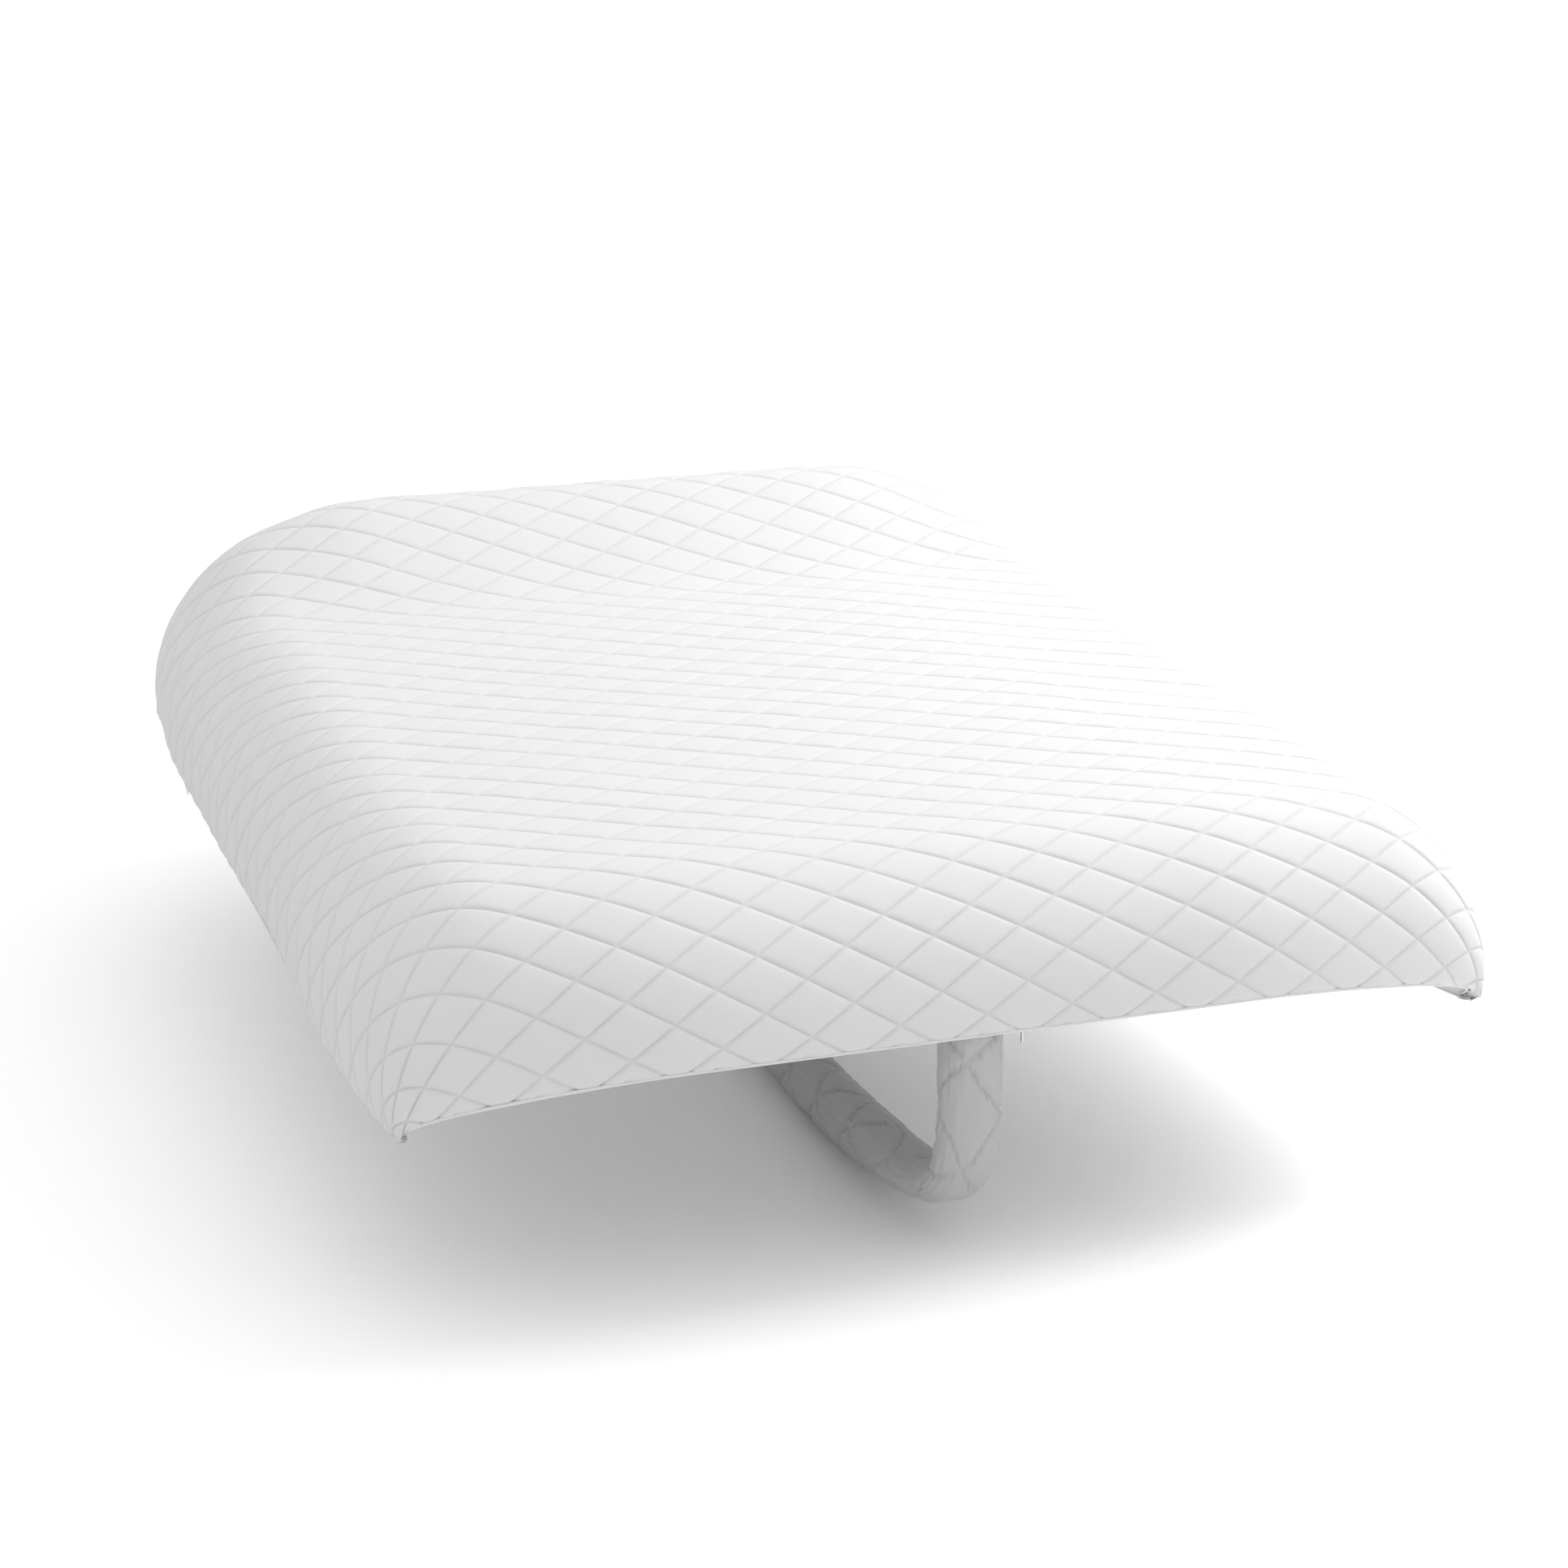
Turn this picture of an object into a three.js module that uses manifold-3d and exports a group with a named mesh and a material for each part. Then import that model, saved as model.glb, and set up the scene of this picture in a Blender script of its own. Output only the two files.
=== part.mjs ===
// Quilted air duvet, draped as it lies on a made bed, with its air hose hanging from the foot.
// Millimetres. X points right, Y from the foot of the bed to its head, Z up.
// The origin is on the duvet's flat underside, where it rests on the mattress.
import * as THREE from 'three';
import { mergeVertices } from 'three/addons/utils/BufferGeometryUtils.js';
import Module from 'manifold-3d';

const wasm = await Module();
wasm.setup();

// ---- Driving dimensions: the drape ----
const GAP = 0.5;
const FLAT_HALF_WIDTH = 663;
const FOOT_LINE_Y = -899;
const HEAD_LINE_Y = 685;
const SIDE_BEND = 208;
const FOOT_BEND = 220;
const HEAD_BEND = 338;
const HANG_ANGLE = 1.66;
const SIDE_CLOTH = 360;
const FOOT_CLOTH = 350;
const HEAD_CLOTH = 360;
const FOOT_LOFT = 68;
const LOFT_RISE = 41;
const LOFT_START_Y = -1030;
const LOFT_END_INSET = 315;
const CORNER_FALL = 222;
const PILLOW_RISE = 134;
const PILLOW_START_INSET = 304;
const PILLOW_FULL_REACH = 99;
const PILLOW_HALF_WIDTH = 450;
const PILLOW_FADE = 583;
const HEAD_SAG = 128;
const HEAD_SAG_ALONG = 555;
const FOOT_SAG = 96;
const FOOT_SAG_ALONG = 992;
const SAG_ACROSS = 656;
const CORNER_PULL_X = 68;
const CORNER_PULL_Y = 119;
const CORNER_PULL_REACH = 327;
const SIDE_WALL = 60;
const HEAD_WALL = 80;
const SIDE_PINCH = 0.45;
const PINCH_REACH = 130;

// ---- Driving dimensions: the layers, as depths from the outside in, 0 to 1 ----
const COVER_DEPTH = 0.05;
const LAYER_GAP = 0.022;
const FILL_DEPTH = 0.45;
const LINING_DEPTH = 0.05;
const GUSSET_THICKNESS = 3.5;
const HEM_GAP = 3.2;
const LAYER_SETBACK = 17;
const PIPING_RADIUS = 3;
const PIPING_STAND_OFF = 3;
const FLAT_STEPS = 3;
const SIDE_STEPS = 5;
const FOOT_STEPS = 5;
const PILLOW_STEPS = 2;
const HEAD_STEPS = 4;

// ---- Driving dimensions: inlet, hose and coupling ----
const INLET_X = -9;
const INLET_MARGIN = 3;
const INLET_ROOM = 15;
const SPIGOT_RADIUS = 33;
const SPIGOT_WALL = 3;
const SPIGOT_LENGTH = 52;
const FLANGE_WIDTH = 4;
const FLANGE_THICKNESS = 2.4;
const SEAL_THICKNESS = 1;
const NUT_WIDTH = 7;
const NUT_HEIGHT = 5;
const DUCT_WALL = 3;
const SLEEVE_SLACK = 1;
const SLEEVE_WALL = 4;
const CLAMP_WIDTH = 9;
const CLAMP_SETBACK = 16;
const CLAMP_THICKNESS = 3;
const COUPLING_LIP = 3;
const COUPLING_FLANGE_THICKNESS = 6;
const NOSE_WALL = 9;
const COUPLING_NOSE_LENGTH = 38;
const RING_WALL = 12.5;
const RING_WIDTH = 24;
const RING_GRIPS = 12;
const RING_GRIP_DEPTH = 2.5;
const O_RING_RADIUS = 1.6;
const HOSE_SIDES = 10;
const HOSE_STEPS = 24;

// ---- Driving dimensions: zip and sewn-in trim ----
const ZIP_START_X = 60;
const ZIP_LENGTH = 300;
const ZIP_INSET = 53;
const TAPE_WIDTH = 12;
const TAPE_THICKNESS = 1;
const CHAIN_WIDTH = 6;
const CHAIN_THICKNESS = 4;
const TOOTH_PITCH = 20;
const SLIDER_LENGTH = 14;
const SLIDER_WIDTH = 13;
const SLIDER_PLATE = 1.8;
const ZIP_CLEARANCE = 0.4;
const STOP_LENGTH = 4;
const LUG_WIDTH = 3;
const PIN_RADIUS = 1;
const PULL_LENGTH = 32;
const PULL_WIDTH = 9;
const PULL_THICKNESS = 2;
const TIE_LENGTH = 34;
const TIE_HEIGHT = 3;
const TIE_WIDTH = 8;
const LABEL_WIDTH = 32;
const LABEL_HEIGHT = 48;
const LABEL_THICKNESS = 0.8;
const LABEL_Y = 420;

// ---- Sizes and places that follow from the driving dimensions ----
const loftEndY = HEAD_LINE_Y - LOFT_END_INSET;
const pillowStartY = HEAD_LINE_Y - PILLOW_START_INSET;
const pillowFullY = HEAD_LINE_Y + PILLOW_FULL_REACH;
const spigotBore = SPIGOT_RADIUS - SPIGOT_WALL;
const spigotHole = SPIGOT_RADIUS + GAP;
const flangeRadius = SPIGOT_RADIUS + FLANGE_WIDTH;
const nutRadius = SPIGOT_RADIUS + NUT_WIDTH;
const ductRadius = spigotHole + DUCT_WALL;
const clampBore = ductRadius + GAP;
const clampRadius = clampBore + CLAMP_THICKNESS;
const sleeveBore = clampRadius + SLEEVE_SLACK;
const sleeveRadius = sleeveBore + SLEEVE_WALL;
const footHemY = FOOT_LINE_Y - FOOT_BEND;
const inletInset = sleeveRadius + INLET_MARGIN;
const inletY = footHemY + inletInset;
const footWall = inletInset + flangeRadius + INLET_ROOM;
const zipY = footHemY + ZIP_INSET;
const couplingFlangeRadius = sleeveRadius + COUPLING_LIP;
const noseRadius = spigotBore + NOSE_WALL;
const ringBore = noseRadius + GAP;
const ringRadius = ringBore + RING_WALL;

// ---- Materials ----
const material = (color, roughness, metalness = 0) =>
  new THREE.MeshStandardMaterial({ color, roughness, metalness });
const QUILT = [0xf4f4f4, 0.85];
const WADDING = [0xfafafa, 0.95];
const SPACER = [0xe9ecee, 0.9];
const LINING = [0xececec, 0.85];
const PIPING = [0xf7f7f7, 0.8];
const PLASTIC = [0xe4e4e2, 0.45];
const RUBBER = [0x3a3a3a, 0.7];
const METAL = [0xb9bcc0, 0.35, 0.9];

const part = new THREE.Group();

function addMesh(name, geometry, look) {
  const mesh = new THREE.Mesh(geometry, material(...look));
  mesh.name = name;
  part.add(mesh);
  return mesh;
}

// ---- The draped form ----
const clamp = (value, low, high) => Math.min(Math.max(value, low), high);
const smooth = (t) => clamp(t, 0, 1) ** 2 * (3 - 2 * clamp(t, 0, 1));
const square = (t) => clamp(t, 0, 1) ** 2;

const HALF_CLOTH = FLAT_HALF_WIDTH + SIDE_CLOTH;
const FLAT_LENGTH = HEAD_LINE_Y - FOOT_LINE_Y;
const FOOT_HEM = -FOOT_CLOTH;
const HEAD_HEM = FLAT_LENGTH + HEAD_CLOTH;

// Cloth that leaves the flat top turns round a bend, then hangs straight at the hang angle.
function bend(past, radius) {
  const angle = clamp(past / radius, 0, HANG_ANGLE);
  const straight = Math.max(past - radius * HANG_ANGLE, 0);
  return {
    angle,
    run: radius * Math.sin(angle) + straight * Math.cos(HANG_ANGLE),
    drop: radius * (1 - Math.cos(angle)) + straight * Math.sin(HANG_ANGLE),
  };
}

// A point of the duvet. across and along are lengths of cloth from the centre line and from the
// foot line; depth is 0 on the outside and 1 on the underside.
function drape(across, along, depth) {
  const side = bend(Math.max(Math.abs(across) - FLAT_HALF_WIDTH, 0), SIDE_BEND);
  const foot = bend(Math.max(-along, 0), FOOT_BEND);
  const head = bend(Math.max(along - FLAT_LENGTH, 0), HEAD_BEND);
  const toSide = Math.abs(across) - FLAT_HALF_WIDTH;
  const pullReach = SIDE_CLOTH + CORNER_PULL_REACH;
  const pullSide = square((toSide + CORNER_PULL_REACH) / pullReach);
  const pullFoot = square((CORNER_PULL_REACH - along) / (FOOT_CLOTH + CORNER_PULL_REACH));
  const pullHead = square((along - FLAT_LENGTH + CORNER_PULL_REACH) / (HEAD_CLOTH + CORNER_PULL_REACH));
  const outX = Math.min(Math.abs(across), FLAT_HALF_WIDTH) + side.run;
  let x = outX - CORNER_PULL_X * pullSide * (pullFoot + pullHead);
  let y = FOOT_LINE_Y + clamp(along, 0, FLAT_LENGTH) - foot.run + head.run;
  y += CORNER_PULL_Y * pullSide * (pullFoot - pullHead);
  const endDrop = foot.drop + head.drop;
  const drop = side.drop + endDrop - (side.drop * endDrop) / CORNER_FALL;
  const sagSide = square((Math.abs(across) - HALF_CLOTH + SAG_ACROSS) / SAG_ACROSS);
  const sagHead = HEAD_SAG * square((along - HEAD_HEM + HEAD_SAG_ALONG) / HEAD_SAG_ALONG);
  const sagFoot = FOOT_SAG * square((FOOT_HEM + FOOT_SAG_ALONG - along) / FOOT_SAG_ALONG);
  const loft = FOOT_LOFT + LOFT_RISE * clamp((y - LOFT_START_Y) / (loftEndY - LOFT_START_Y), 0, 1);
  const pillowAlong = smooth((y - pillowStartY) / (pillowFullY - pillowStartY));
  const lift = PILLOW_RISE * pillowAlong * (1 - smooth((x - PILLOW_HALF_WIDTH) / PILLOW_FADE));
  let z = loft + lift - drop - sagSide * (sagHead + sagFoot);
  const pinch = SIDE_PINCH + (1 - SIDE_PINCH) * smooth((HALF_CLOTH - Math.abs(across)) / PINCH_REACH);
  x -= depth * SIDE_WALL * pinch * Math.sin(side.angle);
  y += depth * (footWall * Math.sin(foot.angle) - HEAD_WALL * Math.sin(head.angle));
  z -= depth * loft * Math.cos(side.angle) * Math.cos(foot.angle) * Math.cos(head.angle);
  return [x * Math.sign(across), y, z];
}

// Steps from low to high in equal parts, without the first.
const steps = (low, high, count) =>
  Array.from({ length: count }, (_, i) => low + ((high - low) * (i + 1)) / count);

// Every layer shares these lines, so that their facets lie parallel; only the hem lines differ.
const hemLines = (setback) => (setback < LAYER_SETBACK ? [setback, LAYER_SETBACK] : [setback]);

function acrossLines(setback) {
  const bendEnd = FLAT_HALF_WIDTH + SIDE_BEND * HANG_ANGLE;
  const pillow = steps(0, PILLOW_HALF_WIDTH, PILLOW_STEPS);
  const fade = steps(PILLOW_HALF_WIDTH, FLAT_HALF_WIDTH, PILLOW_STEPS);
  const sideBend = steps(FLAT_HALF_WIDTH, bendEnd, SIDE_STEPS);
  const hem = hemLines(setback).reverse().map((value) => HALF_CLOTH - value);
  const half = [...pillow, ...fade, ...sideBend, ...hem];
  return [...half.map((value) => -value).reverse(), 0, ...half];
}

function alongLines(setback) {
  const pillowStart = pillowStartY - FOOT_LINE_Y;
  const foot = hemLines(setback).map((value) => FOOT_HEM + value);
  const footBend = steps(0, FOOT_HEM, FOOT_STEPS).slice(0, -1).reverse();
  const flat = [0, ...steps(0, pillowStart, FLAT_STEPS), ...steps(pillowStart, FLAT_LENGTH, FLAT_STEPS)];
  const headBend = steps(FLAT_LENGTH, HEAD_HEM, HEAD_STEPS).slice(0, -1);
  const head = hemLines(setback).reverse().map((value) => HEAD_HEM - value);
  return [...foot, ...footBend, ...flat, ...headBend, ...head];
}

function closedGeometry(positions, triangles) {
  const geometry = new THREE.BufferGeometry();
  geometry.setAttribute('position', new THREE.Float32BufferAttribute(positions.flat(), 3));
  geometry.setIndex(triangles.flat());
  return geometry;
}

// A closed block of the draped form over a grid of cloth lengths and depths. One of the three lists
// holds two values, so every point lies on the block's surface.
function block(acrosses, alongs, depths) {
  const counts = [acrosses.length, alongs.length, depths.length];
  const positions = [];
  for (const depth of depths) {
    for (const along of alongs) {
      for (const across of acrosses) {
        positions.push(drape(across, along, depth));
      }
    }
  }
  const index = (cell) => (cell[2] * counts[1] + cell[1]) * counts[0] + cell[0];
  const triangles = [];
  for (const [first, second, fixed] of [[0, 1, 2], [1, 2, 0], [2, 0, 1]]) {
    for (const level of [0, counts[fixed] - 1]) {
      for (let i = 0; i < counts[first] - 1; i += 1) {
        for (let j = 0; j < counts[second] - 1; j += 1) {
          const corner = (di, dj) => {
            const cell = [];
            cell[first] = i + di;
            cell[second] = j + dj;
            cell[fixed] = level;
            return index(cell);
          };
          const [near, right, far, left] = [corner(0, 0), corner(1, 0), corner(1, 1), corner(0, 1)];
          if (level === 0) triangles.push([near, right, far], [near, far, left]);
          else triangles.push([near, far, right], [near, left, far]);
        }
      }
    }
  }
  return closedGeometry(positions, triangles);
}

// ---- Solids joined or cut ----
function toSolid(geometry) {
  const plain = geometry.clone();
  plain.deleteAttribute('normal');
  plain.deleteAttribute('uv');
  const merged = mergeVertices(plain, 1e-4);
  const vertProperties = Float32Array.from(merged.attributes.position.array);
  const triVerts = Uint32Array.from(merged.index.array);
  return new wasm.Manifold(new wasm.Mesh({ numProp: 3, vertProperties, triVerts }));
}

function toGeometry(solid) {
  const mesh = solid.getMesh();
  const geometry = new THREE.BufferGeometry();
  geometry.setAttribute('position', new THREE.BufferAttribute(Float32Array.from(mesh.vertProperties), 3));
  geometry.setIndex(new THREE.BufferAttribute(Uint32Array.from(mesh.triVerts), 1));
  return geometry;
}

// ---- Round pieces: a closed profile of [radius, height] turned about Z ----
function turned(profile, sides) {
  const points = [...profile, profile[0]].map(([radius, height]) => new THREE.Vector2(radius, height));
  const geometry = new THREE.LatheGeometry(points, sides);
  geometry.rotateX(Math.PI / 2);
  return geometry;
}

const ring = (bore, radius, low, high, sides) =>
  turned([[bore, low], [radius, low], [radius, high], [bore, high]], sides);

function box(width, depth, height, x, y, z) {
  const geometry = new THREE.BoxGeometry(width, depth, height);
  geometry.translate(x, y, z);
  return geometry;
}

// ---- Cover, filling, air layer and lining ----
const COVER_SETBACK = GUSSET_THICKNESS + HEM_GAP;
const fillStart = COVER_DEPTH + LAYER_GAP;
const spacerStart = fillStart + FILL_DEPTH + LAYER_GAP;
const liningStart = 1 - LINING_DEPTH;
const coverAcross = acrossLines(COVER_SETBACK);
const coverAlong = alongLines(COVER_SETBACK);
const layerAcross = acrossLines(LAYER_SETBACK);
const layerAlong = alongLines(LAYER_SETBACK);

addMesh('top_cover', block(coverAcross, coverAlong, [0, COVER_DEPTH]), QUILT);
addMesh('fill_layer', block(layerAcross, layerAlong, [fillStart, fillStart + FILL_DEPTH]), WADDING);
addMesh('air_spacer', block(layerAcross, layerAlong, [spacerStart, liningStart - LAYER_GAP]), SPACER);
addMesh('bottom_cover', block(coverAcross, coverAlong, [liningStart, 1]), LINING);

// ---- Gussets: the strips that close the duvet between cover and lining ----
const sideStrip = (sign) =>
  [HALF_CLOTH - GUSSET_THICKNESS, HALF_CLOTH].map((value) => sign * value).sort((a, b) => a - b);
const gussetAlong = alongLines(COVER_SETBACK);
const gussetDepths = [0, fillStart, spacerStart, liningStart, 1];
addMesh('left_gusset', block(sideStrip(-1), gussetAlong, gussetDepths), QUILT);
addMesh('right_gusset', block(sideStrip(1), gussetAlong, gussetDepths), QUILT);
const endAcross = acrossLines(0);
const headEdge = [HEAD_HEM - GUSSET_THICKNESS, HEAD_HEM];
addMesh('head_gusset', block(endAcross, headEdge, gussetDepths), QUILT);

const footEdge = [FOOT_HEM, FOOT_HEM + GUSSET_THICKNESS];
const footGusset = block(endAcross, footEdge, gussetDepths);
const hemZ = drape(0, FOOT_HEM, 0)[2];
const inletHole = new THREE.CylinderGeometry(spigotHole, spigotHole, SPIGOT_LENGTH, 24);
inletHole.rotateX(Math.PI / 2);
inletHole.translate(INLET_X, inletY, hemZ);
addMesh('foot_gusset', toGeometry(toSolid(footGusset).subtract(toSolid(inletHole))), QUILT);

// ---- Piping: one cord sewn round the outside seam, its ends butted at the middle of the head ----
function pipingRoute() {
  const out = PIPING_RADIUS + PIPING_STAND_OFF;
  const point = (across, along, dx, dy, dz) => {
    const [x, y, z] = drape(across, along, 0);
    return new THREE.Vector3(x + dx, y + dy, z + dz);
  };
  const sideLines = alongLines(0).filter((_, i, list) => i > 0 && i < list.length - 1);
  const endLines = acrossLines(0).filter((value) => Math.abs(value) < HALF_CLOTH && value !== 0);
  const headHang = point(0, HEAD_HEM, 0, out * Math.sin(HEAD_CLOTH / HEAD_BEND), -out);
  const half = (sign) => [
    ...endLines.filter((value) => value * sign > 0).sort((a, b) => (a - b) * sign)
      .map((value) => point(value, HEAD_HEM, 0, out, -out)),
    point(sign * HALF_CLOTH, HEAD_HEM, sign * out, out, -out),
    ...[...sideLines].reverse().map((value) => point(sign * HALF_CLOTH, value, sign * out, 0, -out)),
    point(sign * HALF_CLOTH, FOOT_HEM, sign * out, -out, -out),
    ...endLines.filter((value) => value * sign > 0).sort((a, b) => (b - a) * sign)
      .map((value) => point(value, FOOT_HEM, 0, -out, -out)),
  ];
  const start = headHang.clone().add(new THREE.Vector3(GAP, 0, 0));
  const end = headHang.clone().add(new THREE.Vector3(-GAP, 0, 0));
  return [start, ...half(1), point(0, FOOT_HEM, 0, -out, -out), ...half(-1).reverse(), end];
}

function tubeAlong(points, radius, bore, sides, count) {
  const section = new THREE.Shape();
  const corner = (r, i) => [r * Math.cos((2 * Math.PI * i) / sides), r * Math.sin((2 * Math.PI * i) / sides)];
  section.moveTo(...corner(radius, 0));
  for (let i = 1; i < sides; i += 1) section.lineTo(...corner(radius, i));
  section.closePath();
  if (bore > 0) {
    const hole = new THREE.Path();
    const acrossFlats = bore / Math.cos(Math.PI / sides);
    hole.moveTo(...corner(acrossFlats, 0));
    for (let i = 1; i < sides; i += 1) hole.lineTo(...corner(acrossFlats, i));
    hole.closePath();
    section.holes.push(hole);
  }
  const curve = new THREE.CatmullRomCurve3(points, false, 'centripetal');
  return new THREE.ExtrudeGeometry(section, { steps: count, extrudePath: curve, bevelEnabled: false });
}

const PIPING_SIDES = 6;
const PIPING_SEGMENT = 90.5;
const hemLength = 2 * (2 * HALF_CLOTH + HEAD_HEM - FOOT_HEM);
const pipingSteps = Math.ceil(hemLength / PIPING_SEGMENT);
const pipingPoints = pipingRoute();
addMesh('edge_piping', tubeAlong(pipingPoints, PIPING_RADIUS, 0, PIPING_SIDES, pipingSteps), PIPING);

// ---- Air inlet: a flanged spigot through the foot gusset, held by a nut below it ----
const gussetTop = hemZ + GUSSET_THICKNESS;
const sealLow = gussetTop + GAP;
const flangeLow = sealLow + SEAL_THICKNESS + GAP;
const flangeHigh = flangeLow + FLANGE_THICKNESS;
const spigotEnd = hemZ - SPIGOT_LENGTH;
const nutTop = hemZ - GAP;
const ROUND_SIDES = 24;

function atInlet(name, geometry, look) {
  addMesh(name, geometry, look).position.set(INLET_X, inletY, 0);
}

atInlet('inlet_flange', turned([
  [spigotBore, spigotEnd],
  [SPIGOT_RADIUS, spigotEnd],
  [SPIGOT_RADIUS, flangeLow],
  [flangeRadius, flangeLow],
  [flangeRadius, flangeHigh],
  [spigotBore, flangeHigh],
], ROUND_SIDES), PLASTIC);
atInlet('inlet_seal', ring(spigotHole, flangeRadius, sealLow, sealLow + SEAL_THICKNESS, ROUND_SIDES), RUBBER);
atInlet('inlet_nut', ring(spigotHole, nutRadius, nutTop - NUT_HEIGHT, nutTop, ROUND_SIDES), PLASTIC);

// ---- Hose: down from the foot, round a springy bend above the floor, and back under the bed ----
const hoseTop = nutTop;
const HOSE_ROUTE = [
  [-9, -1071, -200],
  [-9, -1071, -255],
  [-9, -1071, -303],
  [-10, -1066, -348],
  [-11, -1049, -388],
  [-13, -1017, -419],
  [-15, -976, -438],
  [-17, -930, -449],
  [-19, -880, -456],
  [-20, -820, -463],
  [-21, -755, -469],
  [-21, -690, -475],
  [-20, -620, -480],
  [-19, -540, -484],
  [-17, -460, -486],
  [-15, -380, -486],
  [-13, -300, -484],
  [-11, -220, -481],
  [-9, -140, -479],
  [-9, -60, -479],
];
const HOSE_END_Y = 20;
const routePoints = HOSE_ROUTE.map((point) => new THREE.Vector3(...point));
const hoseAxisX = routePoints.at(-1).x;
const hoseAxisZ = routePoints.at(-1).z;
const hoseEnd = new THREE.Vector3(hoseAxisX, HOSE_END_Y, hoseAxisZ);
const hoseFrom = (top) => [new THREE.Vector3(INLET_X, inletY, top), ...routePoints, hoseEnd];
const ductTop = nutTop - NUT_HEIGHT - GAP;
addMesh('hose_sleeve', tubeAlong(hoseFrom(hoseTop), sleeveRadius, sleeveBore, HOSE_SIDES, HOSE_STEPS), QUILT);
addMesh('hose_duct', tubeAlong(hoseFrom(ductTop), ductRadius, spigotHole, HOSE_SIDES, HOSE_STEPS), SPACER);

const clampTop = ductTop - CLAMP_SETBACK;
atInlet('inlet_clamp', ring(clampBore, clampRadius, clampTop - CLAMP_WIDTH, clampTop, ROUND_SIDES), METAL);

// ---- Coupling on the far end, along +Y ----
function atHoseEnd(name, geometry, look) {
  geometry.rotateX(-Math.PI / 2);
  addMesh(name, geometry, look).position.set(hoseAxisX, HOSE_END_Y, hoseAxisZ);
}

const flangeEnd = GAP + COUPLING_FLANGE_THICKNESS;
const noseEnd = flangeEnd + COUPLING_NOSE_LENGTH;
const ringLow = flangeEnd + GAP;
const groove = O_RING_RADIUS + GAP;
const grooveCentre = ringLow + RING_WIDTH + 2 * GAP + groove;
atHoseEnd('coupling_body', turned([
  [spigotBore, -SPIGOT_LENGTH],
  [SPIGOT_RADIUS, -SPIGOT_LENGTH],
  [SPIGOT_RADIUS, GAP],
  [couplingFlangeRadius, GAP],
  [couplingFlangeRadius, flangeEnd],
  [noseRadius, flangeEnd],
  [noseRadius, grooveCentre - groove],
  [noseRadius - groove, grooveCentre - groove],
  [noseRadius - groove, grooveCentre + groove],
  [noseRadius, grooveCentre + groove],
  [noseRadius, noseEnd],
  [spigotBore, noseEnd],
], ROUND_SIDES), PLASTIC);
const endClampLow = -CLAMP_SETBACK - CLAMP_WIDTH;
atHoseEnd('end_clamp', ring(clampBore, clampRadius, endClampLow, -CLAMP_SETBACK, ROUND_SIDES), METAL);

function gripRing() {
  const outline = new THREE.Shape();
  const spacing = (2 * Math.PI) / RING_GRIPS;
  const land = spacing * 0.5;
  const dip = ringRadius - RING_GRIP_DEPTH;
  for (let i = 0; i < RING_GRIPS; i += 1) {
    const corners = [[0, ringRadius], [land, ringRadius], [land * 1.2, dip], [land * 1.8, dip]];
    for (const [offset, radius] of corners) {
      const angle = i * spacing + offset;
      const point = [radius * Math.cos(angle), radius * Math.sin(angle)];
      if (i === 0 && offset === 0) outline.moveTo(...point);
      else outline.lineTo(...point);
    }
  }
  outline.closePath();
  const hole = new THREE.Path();
  hole.absarc(0, 0, ringBore, 0, 2 * Math.PI, true);
  outline.holes.push(hole);
  const options = { depth: RING_WIDTH, bevelEnabled: false, curveSegments: 16 };
  const geometry = new THREE.ExtrudeGeometry(outline, options);
  geometry.translate(0, 0, ringLow);
  return geometry;
}

atHoseEnd('coupling_ring', gripRing(), PLASTIC);

function oRing() {
  const sides = 8;
  const centre = noseRadius - groove + GAP + O_RING_RADIUS;
  const profile = Array.from({ length: sides }, (_, i) => {
    const angle = (2 * Math.PI * i) / sides;
    return [centre + O_RING_RADIUS * Math.cos(angle), grooveCentre + O_RING_RADIUS * Math.sin(angle)];
  });
  return turned(profile, ROUND_SIDES);
}

atHoseEnd('coupling_seal', oRing(), RUBBER);

// ---- Zip: it opens the foot gusset beside the inlet, so the air layer comes out for washing ----
const zipMiddleX = ZIP_START_X + ZIP_LENGTH / 2;
const zipEndX = ZIP_START_X + ZIP_LENGTH;
const tapeTop = hemZ - GAP;
const tapeOffset = CHAIN_WIDTH / 2 + GAP + TAPE_WIDTH / 2;
for (const [name, sign] of [['zip_tape_front', -1], ['zip_tape_back', 1]]) {
  const y = zipY + sign * tapeOffset;
  const z = tapeTop - TAPE_THICKNESS / 2;
  addMesh(name, box(ZIP_LENGTH, TAPE_WIDTH, TAPE_THICKNESS, zipMiddleX, y, z), LINING);
}

function chainOutline() {
  const outline = new THREE.Shape();
  const count = Math.floor(ZIP_LENGTH / TOOTH_PITCH);
  const valley = CHAIN_WIDTH / 2 - 1;
  const crest = CHAIN_WIDTH / 2;
  const tooth = TOOTH_PITCH * 0.45;
  outline.moveTo(0, -valley);
  for (let i = 0; i < count; i += 1) {
    const start = i * TOOTH_PITCH + (TOOTH_PITCH - tooth) / 2;
    outline.lineTo(start, -valley);
    outline.lineTo(start, -crest);
    outline.lineTo(start + tooth, -crest);
    outline.lineTo(start + tooth, -valley);
  }
  const end = count * TOOTH_PITCH;
  outline.lineTo(end, -valley);
  for (let i = count - 1; i >= 0; i -= 1) {
    const start = i * TOOTH_PITCH + (TOOTH_PITCH - tooth) / 2;
    outline.lineTo(start + tooth, valley);
    outline.lineTo(start + tooth, crest);
    outline.lineTo(start, crest);
    outline.lineTo(start, valley);
  }
  outline.lineTo(0, valley);
  outline.closePath();
  return outline;
}

const chain = new THREE.ExtrudeGeometry(chainOutline(), { depth: CHAIN_THICKNESS, bevelEnabled: false });
const chainLow = tapeTop - CHAIN_THICKNESS;
addMesh('zip_teeth', chain, PLASTIC).position.set(ZIP_START_X, zipY, chainLow);

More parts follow.
